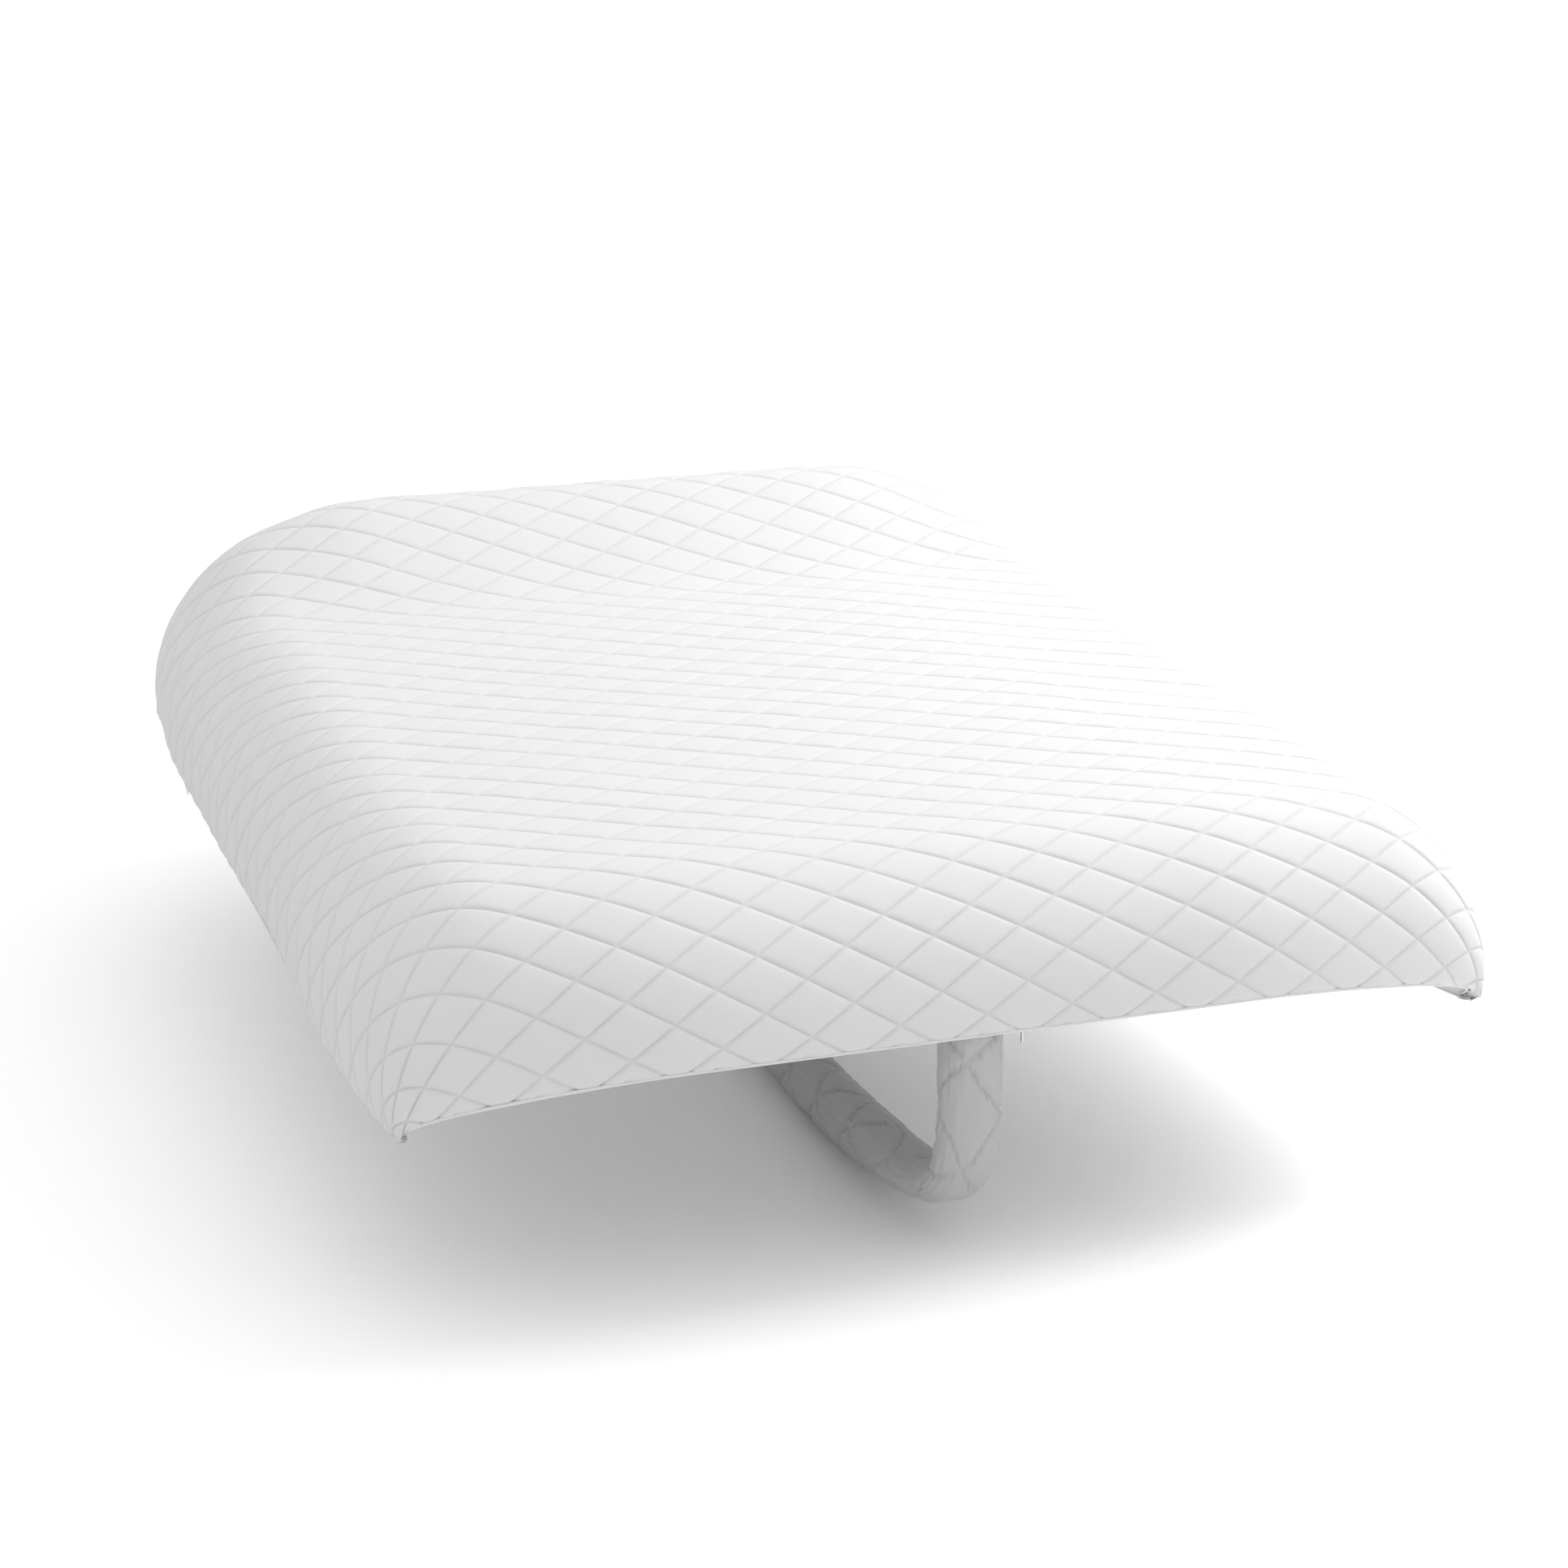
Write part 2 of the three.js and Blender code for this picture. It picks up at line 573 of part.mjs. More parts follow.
const stopZ = chainLow - ZIP_CLEARANCE - SLIDER_PLATE / 2;
const sliderStartX = ZIP_START_X + STOP_LENGTH + GAP;
const sliderX = sliderStartX + SLIDER_LENGTH / 2;
for (const [name, x] of [['zip_stop_start', ZIP_START_X], ['zip_stop_end', zipEndX - STOP_LENGTH]]) {
  addMesh(name, box(STOP_LENGTH, CHAIN_WIDTH, SLIDER_PLATE, x + STOP_LENGTH / 2, zipY, stopZ), METAL);
}

// The slider is a channel under the teeth, with two lugs and a pin that carry the pull.
const channelHalf = CHAIN_WIDTH / 2 + ZIP_CLEARANCE;
const flangeWidth = SLIDER_WIDTH / 2 - channelHalf;
const sliderTop = tapeTop - TAPE_THICKNESS - ZIP_CLEARANCE;
const plateTop = chainLow - ZIP_CLEARANCE;
const plateLow = plateTop - SLIDER_PLATE;
const OVERLAP = 0.2;
const LUG_DROP = 5;
const lugHeight = LUG_DROP + OVERLAP;
const lugOffset = PULL_WIDTH / 2 - LUG_WIDTH / 2;
const pinZ = plateLow - LUG_DROP + PIN_RADIUS + 0.6;

function sliderSolid() {
  let solid = toSolid(box(SLIDER_LENGTH, SLIDER_WIDTH, SLIDER_PLATE, 0, 0, plateLow + SLIDER_PLATE / 2));
  const wallHeight = sliderTop - plateTop + OVERLAP;
  for (const sign of [-1, 1]) {
    const wallY = sign * (channelHalf + flangeWidth / 2);
    const wallZ = sliderTop - wallHeight / 2;
    solid = solid.add(toSolid(box(SLIDER_LENGTH, flangeWidth, wallHeight, 0, wallY, wallZ)));
    const lugZ = plateLow + OVERLAP - lugHeight / 2;
    solid = solid.add(toSolid(box(4, LUG_WIDTH, lugHeight, 0, sign * (lugOffset + 1.5), lugZ)));
  }
  const pin = new THREE.CylinderGeometry(PIN_RADIUS, PIN_RADIUS, 2 * lugOffset + LUG_WIDTH, 10);
  pin.translate(0, 0, pinZ);
  return toGeometry(solid.add(toSolid(pin)));
}

addMesh('zip_slider', sliderSolid(), METAL).position.set(sliderX, zipY, 0);

// The pull hangs from the pin by its eye.
function pullSolid() {
  const eyeWidth = 2 * (lugOffset + 1.5) - LUG_WIDTH - 2 * GAP;
  const eyeHalf = PIN_RADIUS + 1.7;
  const outline = new THREE.Shape();
  outline.moveTo(-PULL_THICKNESS / 2, -PULL_LENGTH);
  outline.lineTo(PULL_THICKNESS / 2, -PULL_LENGTH);
  outline.lineTo(PULL_THICKNESS / 2, -eyeHalf);
  outline.lineTo(eyeHalf, -PIN_RADIUS);
  outline.lineTo(eyeHalf, PIN_RADIUS);
  outline.lineTo(PIN_RADIUS, eyeHalf);
  outline.lineTo(-PIN_RADIUS, eyeHalf);
  outline.lineTo(-eyeHalf, PIN_RADIUS);
  outline.lineTo(-eyeHalf, -PIN_RADIUS);
  outline.lineTo(-PULL_THICKNESS / 2, -eyeHalf);
  outline.closePath();
  const hole = new THREE.Path();
  hole.absarc(0, 0, PIN_RADIUS + ZIP_CLEARANCE, 0, 2 * Math.PI, true);
  outline.holes.push(hole);
  const options = { depth: eyeWidth, bevelEnabled: false, curveSegments: 8 };
  const geometry = new THREE.ExtrudeGeometry(outline, options);
  geometry.translate(0, 0, -eyeWidth / 2);
  geometry.rotateX(Math.PI / 2);
  return geometry;
}

addMesh('zip_pull', pullSolid(), METAL).position.set(sliderX, zipY, pinZ);

// ---- Ties that hold the layers in the corners of the cover, and a blank care label ----
const tieDepth = 0.5;
for (const [endName, along, end] of [['foot', FOOT_HEM, 1], ['head', HEAD_HEM, -1]]) {
  for (const [sideName, sign] of [['left', -1], ['right', 1]]) {
    const inset = (GUSSET_THICKNESS + LAYER_SETBACK) / 2;
    const across = sign * PILLOW_HALF_WIDTH;
    const [x, y, z] = drape(across, along + end * inset, tieDepth);
    const tieBox = box(TIE_LENGTH, TIE_WIDTH, TIE_HEIGHT, 0, 0, 0);
    const tie = addMesh(`corner_tie_${endName}_${sideName}`, tieBox, LINING);
    const hang = (end > 0 ? FOOT_CLOTH / FOOT_BEND : HEAD_CLOTH / HEAD_BEND) * end;
    tie.rotation.x = end > 0 ? hang - Math.PI / 2 : hang + Math.PI / 2;
    tie.position.set(x, y, z);
  }
}

const labelAlong = LABEL_Y - FOOT_LINE_Y;
const [labelX, labelYAtHem, labelZ] = drape(-HALF_CLOTH, labelAlong, 0.5);
const labelMiddleZ = labelZ - PIPING_RADIUS - LABEL_HEIGHT / 2;
const labelBox = box(LABEL_THICKNESS, LABEL_WIDTH, LABEL_HEIGHT, labelX, labelYAtHem, labelMiddleZ);
addMesh('care_label', labelBox, LINING);

export default part;
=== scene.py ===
# %% [markdown]
# # A quilted air duvet
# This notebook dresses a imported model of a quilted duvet. The duvet lies as it would on a made bed,
# and a soft quilted hose hangs from its foot, turns just above the floor and runs back under the bed.
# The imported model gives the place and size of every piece. Blender gives the cloth: fine meshes that
# follow the same draped form, with quilting, seams, folds and fibres.

# %% Load the frame
import math
import bmesh
import bpy
import numpy as np
from mathutils import Matrix, Vector


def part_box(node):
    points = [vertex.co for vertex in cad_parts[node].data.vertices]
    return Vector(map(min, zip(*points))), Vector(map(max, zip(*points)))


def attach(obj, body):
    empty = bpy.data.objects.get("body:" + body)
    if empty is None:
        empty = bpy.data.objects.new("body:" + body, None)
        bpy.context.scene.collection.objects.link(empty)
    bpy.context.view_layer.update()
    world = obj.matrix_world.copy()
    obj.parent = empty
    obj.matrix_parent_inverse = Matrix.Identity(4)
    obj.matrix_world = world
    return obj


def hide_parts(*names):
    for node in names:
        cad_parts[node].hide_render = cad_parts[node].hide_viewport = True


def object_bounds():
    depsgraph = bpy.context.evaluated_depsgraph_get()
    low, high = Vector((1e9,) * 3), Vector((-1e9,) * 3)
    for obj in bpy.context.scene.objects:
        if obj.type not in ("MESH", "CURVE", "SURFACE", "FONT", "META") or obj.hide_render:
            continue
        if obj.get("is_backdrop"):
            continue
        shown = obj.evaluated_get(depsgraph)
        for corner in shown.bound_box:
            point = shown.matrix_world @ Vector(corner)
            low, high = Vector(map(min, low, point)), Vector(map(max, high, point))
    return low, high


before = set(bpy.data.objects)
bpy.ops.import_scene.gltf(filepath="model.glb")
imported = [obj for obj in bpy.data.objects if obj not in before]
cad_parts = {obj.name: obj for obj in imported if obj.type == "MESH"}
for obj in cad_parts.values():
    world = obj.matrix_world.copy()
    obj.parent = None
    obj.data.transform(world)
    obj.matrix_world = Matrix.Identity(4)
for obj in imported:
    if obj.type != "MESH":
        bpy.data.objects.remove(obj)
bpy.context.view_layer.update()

# %% [markdown]
# ## The camera
# A long lens from the left of the foot end, a little above the bed, keeps the sides of the duvet
# close to parallel. The turn is set as two plain angles: a yaw about Z and a pitch down.

# %% Camera
LENS, YAW, PITCH = 78.41, 0.3354, 0.3041
camera_data = bpy.data.cameras.new("Camera")
camera_data.lens = LENS
camera_data.sensor_width = 36
camera_data.clip_end = 60
camera = bpy.data.objects.new("Camera", camera_data)
camera.location = (-1.7292, -5.2094, 1.5983)
camera.rotation_euler = (math.pi / 2 - PITCH, 0, -YAW)
bpy.context.scene.collection.objects.link(camera)
bpy.context.scene.camera = camera
print("camera", camera.location[:])

# %% [markdown]
# ## Small helpers for meshes
# Most pieces here are sheets or tubes, so they are made as grids of points. One helper joins the
# points of a grid into quads, and one turns arrays into a smooth-shaded object that rides on its
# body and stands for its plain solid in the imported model.

# %% Grid and mesh helpers
def grid_quads(rows, columns, wrap=False):
    """Quads that join a grid of points; wrap joins the last column to the first."""
    row = np.arange(rows - 1)[:, None]
    column = np.arange(columns if wrap else columns - 1)[None, :]
    following = (column + 1) % columns
    quads = [row * columns + column, row * columns + following]
    quads += [(row + 1) * columns + following, (row + 1) * columns + column]
    return np.stack([np.broadcast_to(q, (rows - 1, column.size)) for q in quads], -1).reshape(-1, 4)


def ring_quads(rows, columns):
    """Quads of a grid that joins up both ways, such as a ring of rings."""
    return grid_quads(rows + 1, columns, wrap=True) % (rows * columns)


def mesh_from(name, points, quads):
    """A mesh from an array of points and an array of faces."""
    mesh = bpy.data.meshes.new(name)
    mesh.from_pydata(np.asarray(points, float).tolist(), [], np.asarray(quads).tolist())
    mesh.shade_smooth()
    return mesh


def add_piece(name, mesh, body, nodes, look):
    """An object for a mesh: it rides on a body, stands for CAD nodes and wears a material."""
    piece = bpy.data.objects.new(name, mesh)
    bpy.context.scene.collection.objects.link(piece)
    mesh.materials.clear()
    mesh.materials.append(look)
    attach(piece, body)
    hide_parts(*nodes)
    print(name, len(mesh.vertices), "points")
    return piece


def thicken(piece, thickness):
    """Gives a sheet its thickness, inwards."""
    solidify = piece.modifiers.new("Thickness", "SOLIDIFY")
    solidify.thickness = thickness
    solidify.offset = -1
    solidify.use_even_offset = False
    return piece


def round_edges(piece, width, segments=3):
    """Bevels the sharp edges of a piece."""
    bevel = piece.modifiers.new("Rounded edges", "BEVEL")
    bevel.width, bevel.segments, bevel.limit_method = width, segments, "ANGLE"


def reshape(mesh, change):
    """Makes a change to a mesh through a bmesh."""
    work = bmesh.new()
    work.from_mesh(mesh)
    change(work)
    work.to_mesh(mesh)
    work.free()


def store_place(mesh, name, first, second):
    """Keeps two lengths for every point, such as its place on the flat cloth."""
    places = np.stack(np.broadcast_arrays(first, second, 0.0), -1)
    attribute = mesh.attributes.new(name, "FLOAT_VECTOR", "POINT")
    attribute.data.foreach_set("vector", np.asarray(places, np.float32).ravel())


def turned_to(axis, centre):
    """The move that stands a shape made about Z on another axis and centre."""
    turn = Vector((0, 0, 1)).rotation_difference(Vector(axis)).to_matrix().to_4x4()
    return Matrix.Translation(Vector(centre)) @ turn


# %% [markdown]
# Cloth is never perfectly even. A cheap way to get soft, repeatable unevenness is value noise:
# random heights on a coarse grid, blended smoothly in between. The generator is seeded, so every
# run gives the same cloth.

# %% Soft noise
NOISE_HEIGHTS = np.random.default_rng(7).uniform(-1, 1, (64, 64))


def soft_noise(x, y, size, shift=0.0):
    """Smooth noise from -1 to 1 over a plane, with bumps about size metres wide."""
    x, y = np.asarray(x, float) / size + shift, np.asarray(y, float) / size + 2 * shift
    column, row = np.floor(x).astype(int), np.floor(y).astype(int)
    s, t = x - column, y - row
    s, t = s * s * (3 - 2 * s), t * t * (3 - 2 * t)
    height = lambda i, j: NOISE_HEIGHTS[(column + i) % 64, (row + j) % 64]
    near = height(0, 0) * (1 - s) + height(1, 0) * s
    far = height(0, 1) * (1 - s) + height(1, 1) * s
    return near * (1 - t) + far * t


print("noise sample", float(soft_noise(0.1, 0.2, 0.3)))

# %% [markdown]
# ## Shared effects for the materials
# Real cloth shows threads, a little unevenness in its shade, and rows of stitches; along the
# stitches the colour is also darkened, as painted shade in the quilted seams. Each of these is used
# by several materials, so each is a node group, built once. A group puts out only values, and each
# material feeds them to its own Principled shader. The places on the flat cloth are kept in a point
# attribute, so threads follow the cloth over every bend.

# %% Node helpers
def new_group(name, inputs, outputs):
    """An empty shader group with float or vector inputs and float outputs."""
    group = bpy.data.node_groups.new(name, "ShaderNodeTree")
    for label, kind, value in inputs:
        socket = group.interface.new_socket(label, in_out="INPUT", socket_type=kind)
        if value is not None:
            socket.default_value = value
    for label, kind in outputs:
        group.interface.new_socket(label, in_out="OUTPUT", socket_type=kind)
    start = group.nodes.new("NodeGroupInput")
    end = group.nodes.new("NodeGroupOutput")
    return group, start, end


def math_node(tree, operation, first, second=None, third=None):
    """A Math node whose inputs are sockets or plain numbers; gives its output socket."""
    node = tree.nodes.new("ShaderNodeMath")
    node.operation = operation
    for index, value in enumerate([first, second, third]):
        if value is None:
            continue
        if isinstance(value, (int, float)):
            node.inputs[index].default_value = value
        else:
            tree.links.new(value, node.inputs[index])
    return node.outputs[0]


# %% Weave group: crossing threads, from a place on the flat cloth
weave_group, weave_in, weave_out = new_group(
    "Woven threads",
    [("Cloth place", "NodeSocketVector", None), ("Threads per metre", "NodeSocketFloat", 900.0)],
    [("Height", "NodeSocketFloat"), ("Shade", "NodeSocketFloat")],
)
split = weave_group.nodes.new("ShaderNodeSeparateXYZ")
weave_group.links.new(weave_in.outputs["Cloth place"], split.inputs[0])
waves = []
for axis in (0, 1):
    turns = math_node(weave_group, "MULTIPLY", split.outputs[axis], weave_in.outputs["Threads per metre"])
    wave = math_node(weave_group, "SINE", math_node(weave_group, "MULTIPLY", turns, math.pi))
    waves.append(math_node(weave_group, "ABSOLUTE", wave))
crossing = math_node(weave_group, "MAXIMUM", waves[0], waves[1])
weave_group.links.new(crossing, weave_out.inputs["Height"])
shade = math_node(weave_group, "MULTIPLY_ADD", crossing, 0.06, 0.94)
weave_group.links.new(shade, weave_out.inputs["Shade"])
print("group", weave_group.name)

# %% Unevenness group: slow changes of shade, and fine fibres
uneven_group, uneven_in, uneven_out = new_group(
    "Cloth unevenness",
    [("Place", "NodeSocketVector", None), ("Patch scale", "NodeSocketFloat", 6.0),
     ("Fibre scale", "NodeSocketFloat", 420.0), ("Depth", "NodeSocketFloat", 0.03)],
    [("Shade", "NodeSocketFloat"), ("Fibre", "NodeSocketFloat")],
)
patches = uneven_group.nodes.new("ShaderNodeTexNoise")
patches.inputs["Detail"].default_value = 4
fibres = uneven_group.nodes.new("ShaderNodeTexNoise")
fibres.inputs["Detail"].default_value = 2
for texture, scale in ((patches, "Patch scale"), (fibres, "Fibre scale")):
    uneven_group.links.new(uneven_in.outputs["Place"], texture.inputs["Vector"])
    uneven_group.links.new(uneven_in.outputs[scale], texture.inputs["Scale"])
swing = math_node(uneven_group, "SUBTRACT", patches.outputs["Fac"], 0.5)
swing = math_node(uneven_group, "MULTIPLY_ADD", swing, uneven_in.outputs["Depth"], 1.0)
uneven_group.links.new(swing, uneven_out.inputs["Shade"])
uneven_group.links.new(fibres.outputs["Fac"], uneven_out.inputs["Fibre"])
print("group", uneven_group.name)

# %% Stitch group: short threads along the quilting lines, and painted shade beside them
stitch_and_groove_shade_group, stitch_in, stitch_out = new_group(
    "Quilting stitches and groove shade",
    [("Quilt place", "NodeSocketVector", None), ("Half width", "NodeSocketFloat", 0.012),
     ("Stitches per diamond", "NodeSocketFloat", 22.0)],
    [("Thread", "NodeSocketFloat"), ("Painted groove shade", "NodeSocketFloat")],
)
stitch_split = stitch_and_groove_shade_group.nodes.new("ShaderNodeSeparateXYZ")
stitch_and_groove_shade_group.links.new(stitch_in.outputs["Quilt place"], stitch_split.inputs[0])
threads, painted_groove_shades = [], []
for across_line, along_line in ((0, 1), (1, 0)):
    part_of = math_node(stitch_and_groove_shade_group, "PINGPONG", stitch_split.outputs[across_line], 0.5)
    near = math_node(stitch_and_groove_shade_group, "LESS_THAN", part_of, stitch_in.outputs["Half width"])
    steps_along = math_node(
        stitch_and_groove_shade_group, "MULTIPLY", stitch_split.outputs[along_line], stitch_in.outputs["Stitches per diamond"])
    dash = math_node(stitch_and_groove_shade_group, "LESS_THAN", math_node(stitch_and_groove_shade_group, "FRACT", steps_along), 0.72)
    threads.append(math_node(stitch_and_groove_shade_group, "MULTIPLY", near, dash))
    # Painted shade: a darkness that fades out from each quilting line, for the shade in its seam.
    fade = math_node(stitch_and_groove_shade_group, "MULTIPLY", part_of, -30.0)
    painted_groove_shades.append(math_node(stitch_and_groove_shade_group, "EXPONENT", fade))
stitch_and_groove_shade_group.links.new(math_node(stitch_and_groove_shade_group, "MAXIMUM", *threads), stitch_out.inputs["Thread"])
stitch_and_groove_shade_group.links.new(math_node(stitch_and_groove_shade_group, "MAXIMUM", *painted_groove_shades), stitch_out.inputs["Painted groove shade"])
print("group", stitch_and_groove_shade_group.name)

# %% [markdown]
# ## Materials
# Every cloth here is white, so the finishes differ by sheen, roughness and threads; the hose
# sleeve's colour is darkened as painted shade, for the shade it hangs in under the bed. Each function
# call below builds one material: a Principled shader, whose constant values are typed straight
# into its sockets, and groups for what changes over the surface.

# %% Material builder
def group_node(tree, group, **values):
    """Places a group in a material and sets its plain inputs."""
    node = tree.nodes.new("ShaderNodeGroup")
    node.node_tree = group
    for label, value in values.items():
        node.inputs[label.replace("_", " ")].default_value = value
    return node


def attribute_node(tree, name):
    """The vector kept under this name on the mesh's points."""
    node = tree.nodes.new("ShaderNodeAttribute")
    node.attribute_name = name
    return node.outputs["Vector"]


def new_material(name, roughness, **sockets):
    """An empty material with one Principled shader and its constant values."""
    look = bpy.data.materials.new(name)
    look.use_nodes = True
    shader = look.node_tree.nodes["Principled BSDF"]
    shader.inputs["Roughness"].default_value = roughness
    for label, value in sockets.items():
        shader.inputs[label.replace("_", " ")].default_value = value
    return look, look.node_tree, shader


def shaded_colour(tree, shader, colour, *shades):
    """Multiplies a colour by shade values and feeds it to Base Color."""
    total = shades[0]
    for value in shades[1:]:
        total = math_node(tree, "MULTIPLY", total, value)
    mix = tree.nodes.new("ShaderNodeMix")
    mix.data_type = "RGBA"
    mix.blend_type = "MULTIPLY"
    mix.inputs["Factor"].default_value = 1.0
    mix.inputs["A"].default_value = (*colour, 1)
    tree.links.new(total, mix.inputs["B"])
    tree.links.new(mix.outputs["Result"], shader.inputs["Base Color"])


def bumped(tree, shader, height, strength, distance):
    """Feeds a height to the shader's Normal through a Bump node."""
    bump = tree.nodes.new("ShaderNodeBump")
    bump.inputs["Strength"].default_value = strength
    bump.inputs["Distance"].default_value = distance
    tree.links.new(height, bump.inputs["Height"])
    tree.links.new(bump.outputs["Normal"], shader.inputs["Normal"])


# %% Cloths
def cloth_material(name, colour, roughness, sheen, threads, weave_depth, quilted=False):
    """Woven cloth, with quilting stitches and painted shade along them where it is quilted."""
    look, tree, shader = new_material(name, roughness, Sheen_Weight=sheen, Sheen_Roughness=0.5)
    place = attribute_node(tree, "cloth_place")
    weave = group_node(tree, weave_group, Threads_per_metre=threads)
    uneven = group_node(tree, uneven_group)
    tree.links.new(place, weave.inputs["Cloth place"])
    tree.links.new(place, uneven.inputs["Place"])
    height = math_node(tree, "MULTIPLY_ADD", uneven.outputs["Fibre"], 0.4, weave.outputs["Height"])
    shades = [weave.outputs["Shade"], uneven.outputs["Shade"]]
    if quilted:
        stitches = group_node(tree, stitch_and_groove_shade_group)
        tree.links.new(attribute_node(tree, "quilt_place"), stitches.inputs["Quilt place"])
        height = math_node(tree, "MULTIPLY_ADD", stitches.outputs["Thread"], 1.5, height)
        # Painted shade: the colour darkens by up to 7% along each quilting line.
        shades.append(math_node(tree, "MULTIPLY_ADD", stitches.outputs["Painted groove shade"], -0.07, 1.0))
    shaded_colour(tree, shader, colour, *shades)
    bumped(tree, shader, height, 0.35, weave_depth)
    return look


quilt_cloth = cloth_material("quilted_cover", (0.62, 0.62, 0.62), 0.85, 0.08, 900, 0.0003, quilted=True)
# Painted shade: the hose sleeve is the cover's white cloth, its colour darkened from 0.62 to 0.43 for the
# shade under the bed.
sleeve_cloth_with_painted_shade = cloth_material("hose_sleeve", (0.43, 0.43, 0.43), 0.85, 0.08, 900, 0.0003)
plain_cloth = cloth_material("lining", (0.62, 0.62, 0.62), 0.88, 0.08, 700, 0.0004)
binding_cloth = cloth_material("piping", (0.64, 0.64, 0.64), 0.7, 0.15, 1100, 0.0002)
tape_cloth = cloth_material("tape", (0.78, 0.78, 0.77), 0.8, 0.1, 500, 0.0005)
label_cloth = cloth_material("label", (0.88, 0.88, 0.86), 0.45, 0.2, 1300, 0.0001)
print("cloth materials made")

# %% Filling, plastics, rubber and metal
def plain_material(name, colour, roughness, grain_scale, grain_depth, **sockets):
    """A moulded, felted or brushed surface with a fine grain."""
    look, tree, shader = new_material(name, roughness, **sockets)
    place = tree.nodes.new("ShaderNodeTexCoord").outputs["Object"]
    uneven = group_node(tree, uneven_group, Patch_scale=14.0, Fibre_scale=grain_scale, Depth=0.06)
    tree.links.new(place, uneven.inputs["Place"])
    shaded_colour(tree, shader, colour, uneven.outputs["Shade"])
    rough = math_node(tree, "MULTIPLY_ADD", uneven.outputs["Fibre"], 0.12, roughness - 0.06)
    tree.links.new(rough, shader.inputs["Roughness"])
    bumped(tree, shader, uneven.outputs["Fibre"], 0.3, grain_depth)
    return look


wadding_look = plain_material("wadding", (0.88, 0.88, 0.88), 0.95, 260, 0.002, Sheen_Weight=0.3)
spacer_look = plain_material("spacer_mesh", (0.80, 0.81, 0.82), 0.85, 320, 0.001)
duct_look = plain_material("duct", (0.74, 0.75, 0.76), 0.5, 300, 0.0002)
plastic_look = plain_material("plastic", (0.80, 0.80, 0.79), 0.42, 900, 0.00008)
rubber_look = plain_material("seal", (0.05, 0.05, 0.05), 0.62, 700, 0.0001)
metal_look = plain_material("metal", (0.62, 0.63, 0.65), 0.32, 1200, 0.00005, Metallic=1.0)
print("other materials made")

# %% [markdown]
# ## The hose
# A soft duct in a quilted sleeve leaves the underside of the foot edge. It hangs straight down,
# turns in a bend that its wire keeps just off the floor, and settles onto the floor as it runs
# back to its coupling. Its route is a short list of points with one smooth curve through them.

# %% Hose route
HOSE_RADIUS = 0.045
HOSE_STEP, DUCT_STEP = 0.003, 0.0025
HOSE_START = (-0.009, -1.071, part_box("hose_sleeve")[1].z)
HOSE_POINTS = [
    HOSE_START, (-0.009, -1.071, -0.200), (-0.009, -1.071, -0.255),
    (-0.009, -1.071, -0.303), (-0.010, -1.066, -0.348), (-0.011, -1.049, -0.388),
    (-0.013, -1.017, -0.419), (-0.015, -0.976, -0.438), (-0.017, -0.930, -0.449),
    (-0.019, -0.880, -0.456), (-0.020, -0.820, -0.463), (-0.021, -0.755, -0.469),
    (-0.021, -0.690, -0.475), (-0.020, -0.620, -0.480), (-0.019, -0.540, -0.484),
    (-0.017, -0.460, -0.486), (-0.015, -0.380, -0.486), (-0.013, -0.300, -0.484),
    (-0.011, -0.220, -0.481), (-0.009, -0.140, -0.479), (-0.009, -0.060, -0.479),
    (-0.009, 0.020, -0.479),
]


def smooth_path(points, spacing):
    """Points of equal spacing on one smooth curve through the given points."""
    ends = [np.array(p, float) for p in points]
    ends = [2 * ends[0] - ends[1], *ends, 2 * ends[-1] - ends[-2]]
    dense = []
    for before, first, second, after in zip(ends, ends[1:], ends[2:], ends[3:]):
        for t in np.linspace(0, 1, 24, endpoint=False):
            bend_part = 2 * before - 5 * first + 4 * second - after
            cubic_part = 3 * first - before - 3 * second + after
            swing = (second - before) * t + bend_part * t**2 + cubic_part * t**3
            dense.append(0.5 * (2 * first + swing))
    dense = np.array([*dense, ends[-2]])
    lengths = np.concatenate([[0], np.cumsum(np.linalg.norm(np.diff(dense, axis=0), axis=1))])
    stations = np.linspace(0, lengths[-1], max(int(lengths[-1] / spacing), 2) + 1)
    return np.stack([np.interp(stations, lengths, dense[:, k]) for k in range(3)], -1), stations


hose_path, hose_stations = smooth_path(HOSE_POINTS, HOSE_STEP)

# %% [markdown]
# The sleeve is a tube of quilted cloth with large diamonds, two round the tube. Where the hose
# turns, the cloth on the inside of the turn has too much length and folds into creases, the tube
# flattens as a bent straw does, and the whole sleeve is a little slack. All of this is a change of
# radius over the tube's surface.

# %% Tube helper
def unit(vectors):
    """Vectors scaled to a length of 1."""
    return vectors / np.maximum(np.linalg.norm(vectors, axis=-1, keepdims=True), 1e-12)


def tube_points(path, around, radius_of):
    """Points of a tube about a path that lies close to one plane of constant X."""
    tangent = unit(np.gradient(path, axis=0))
    side = unit(np.array([1.0, 0, 0]) - tangent * tangent[:, :1])
    up = np.cross(side, tangent)
    turn = np.linspace(0, 2 * math.pi, around, endpoint=False)[None, :]
    radius = radius_of(turn)
    ring = side[:, None, :] * np.cos(turn)[..., None] + up[:, None, :] * np.sin(turn)[..., None]
    return (path[:, None, :] + ring * radius[..., None]).reshape(-1, 3)


BLUR = 20
hose_tangent = unit(np.gradient(hose_path, axis=0))
hose_bend = np.linalg.norm(np.gradient(hose_tangent, axis=0), axis=1) / HOSE_STEP
hose_bend = np.convolve(np.pad(hose_bend, BLUR, mode="edge"), np.ones(2 * BLUR + 1), mode="valid")
hose_bend /= 2 * BLUR + 1
print("tightest bend radius", round(float(1 / hose_bend.max()), 3), "m")

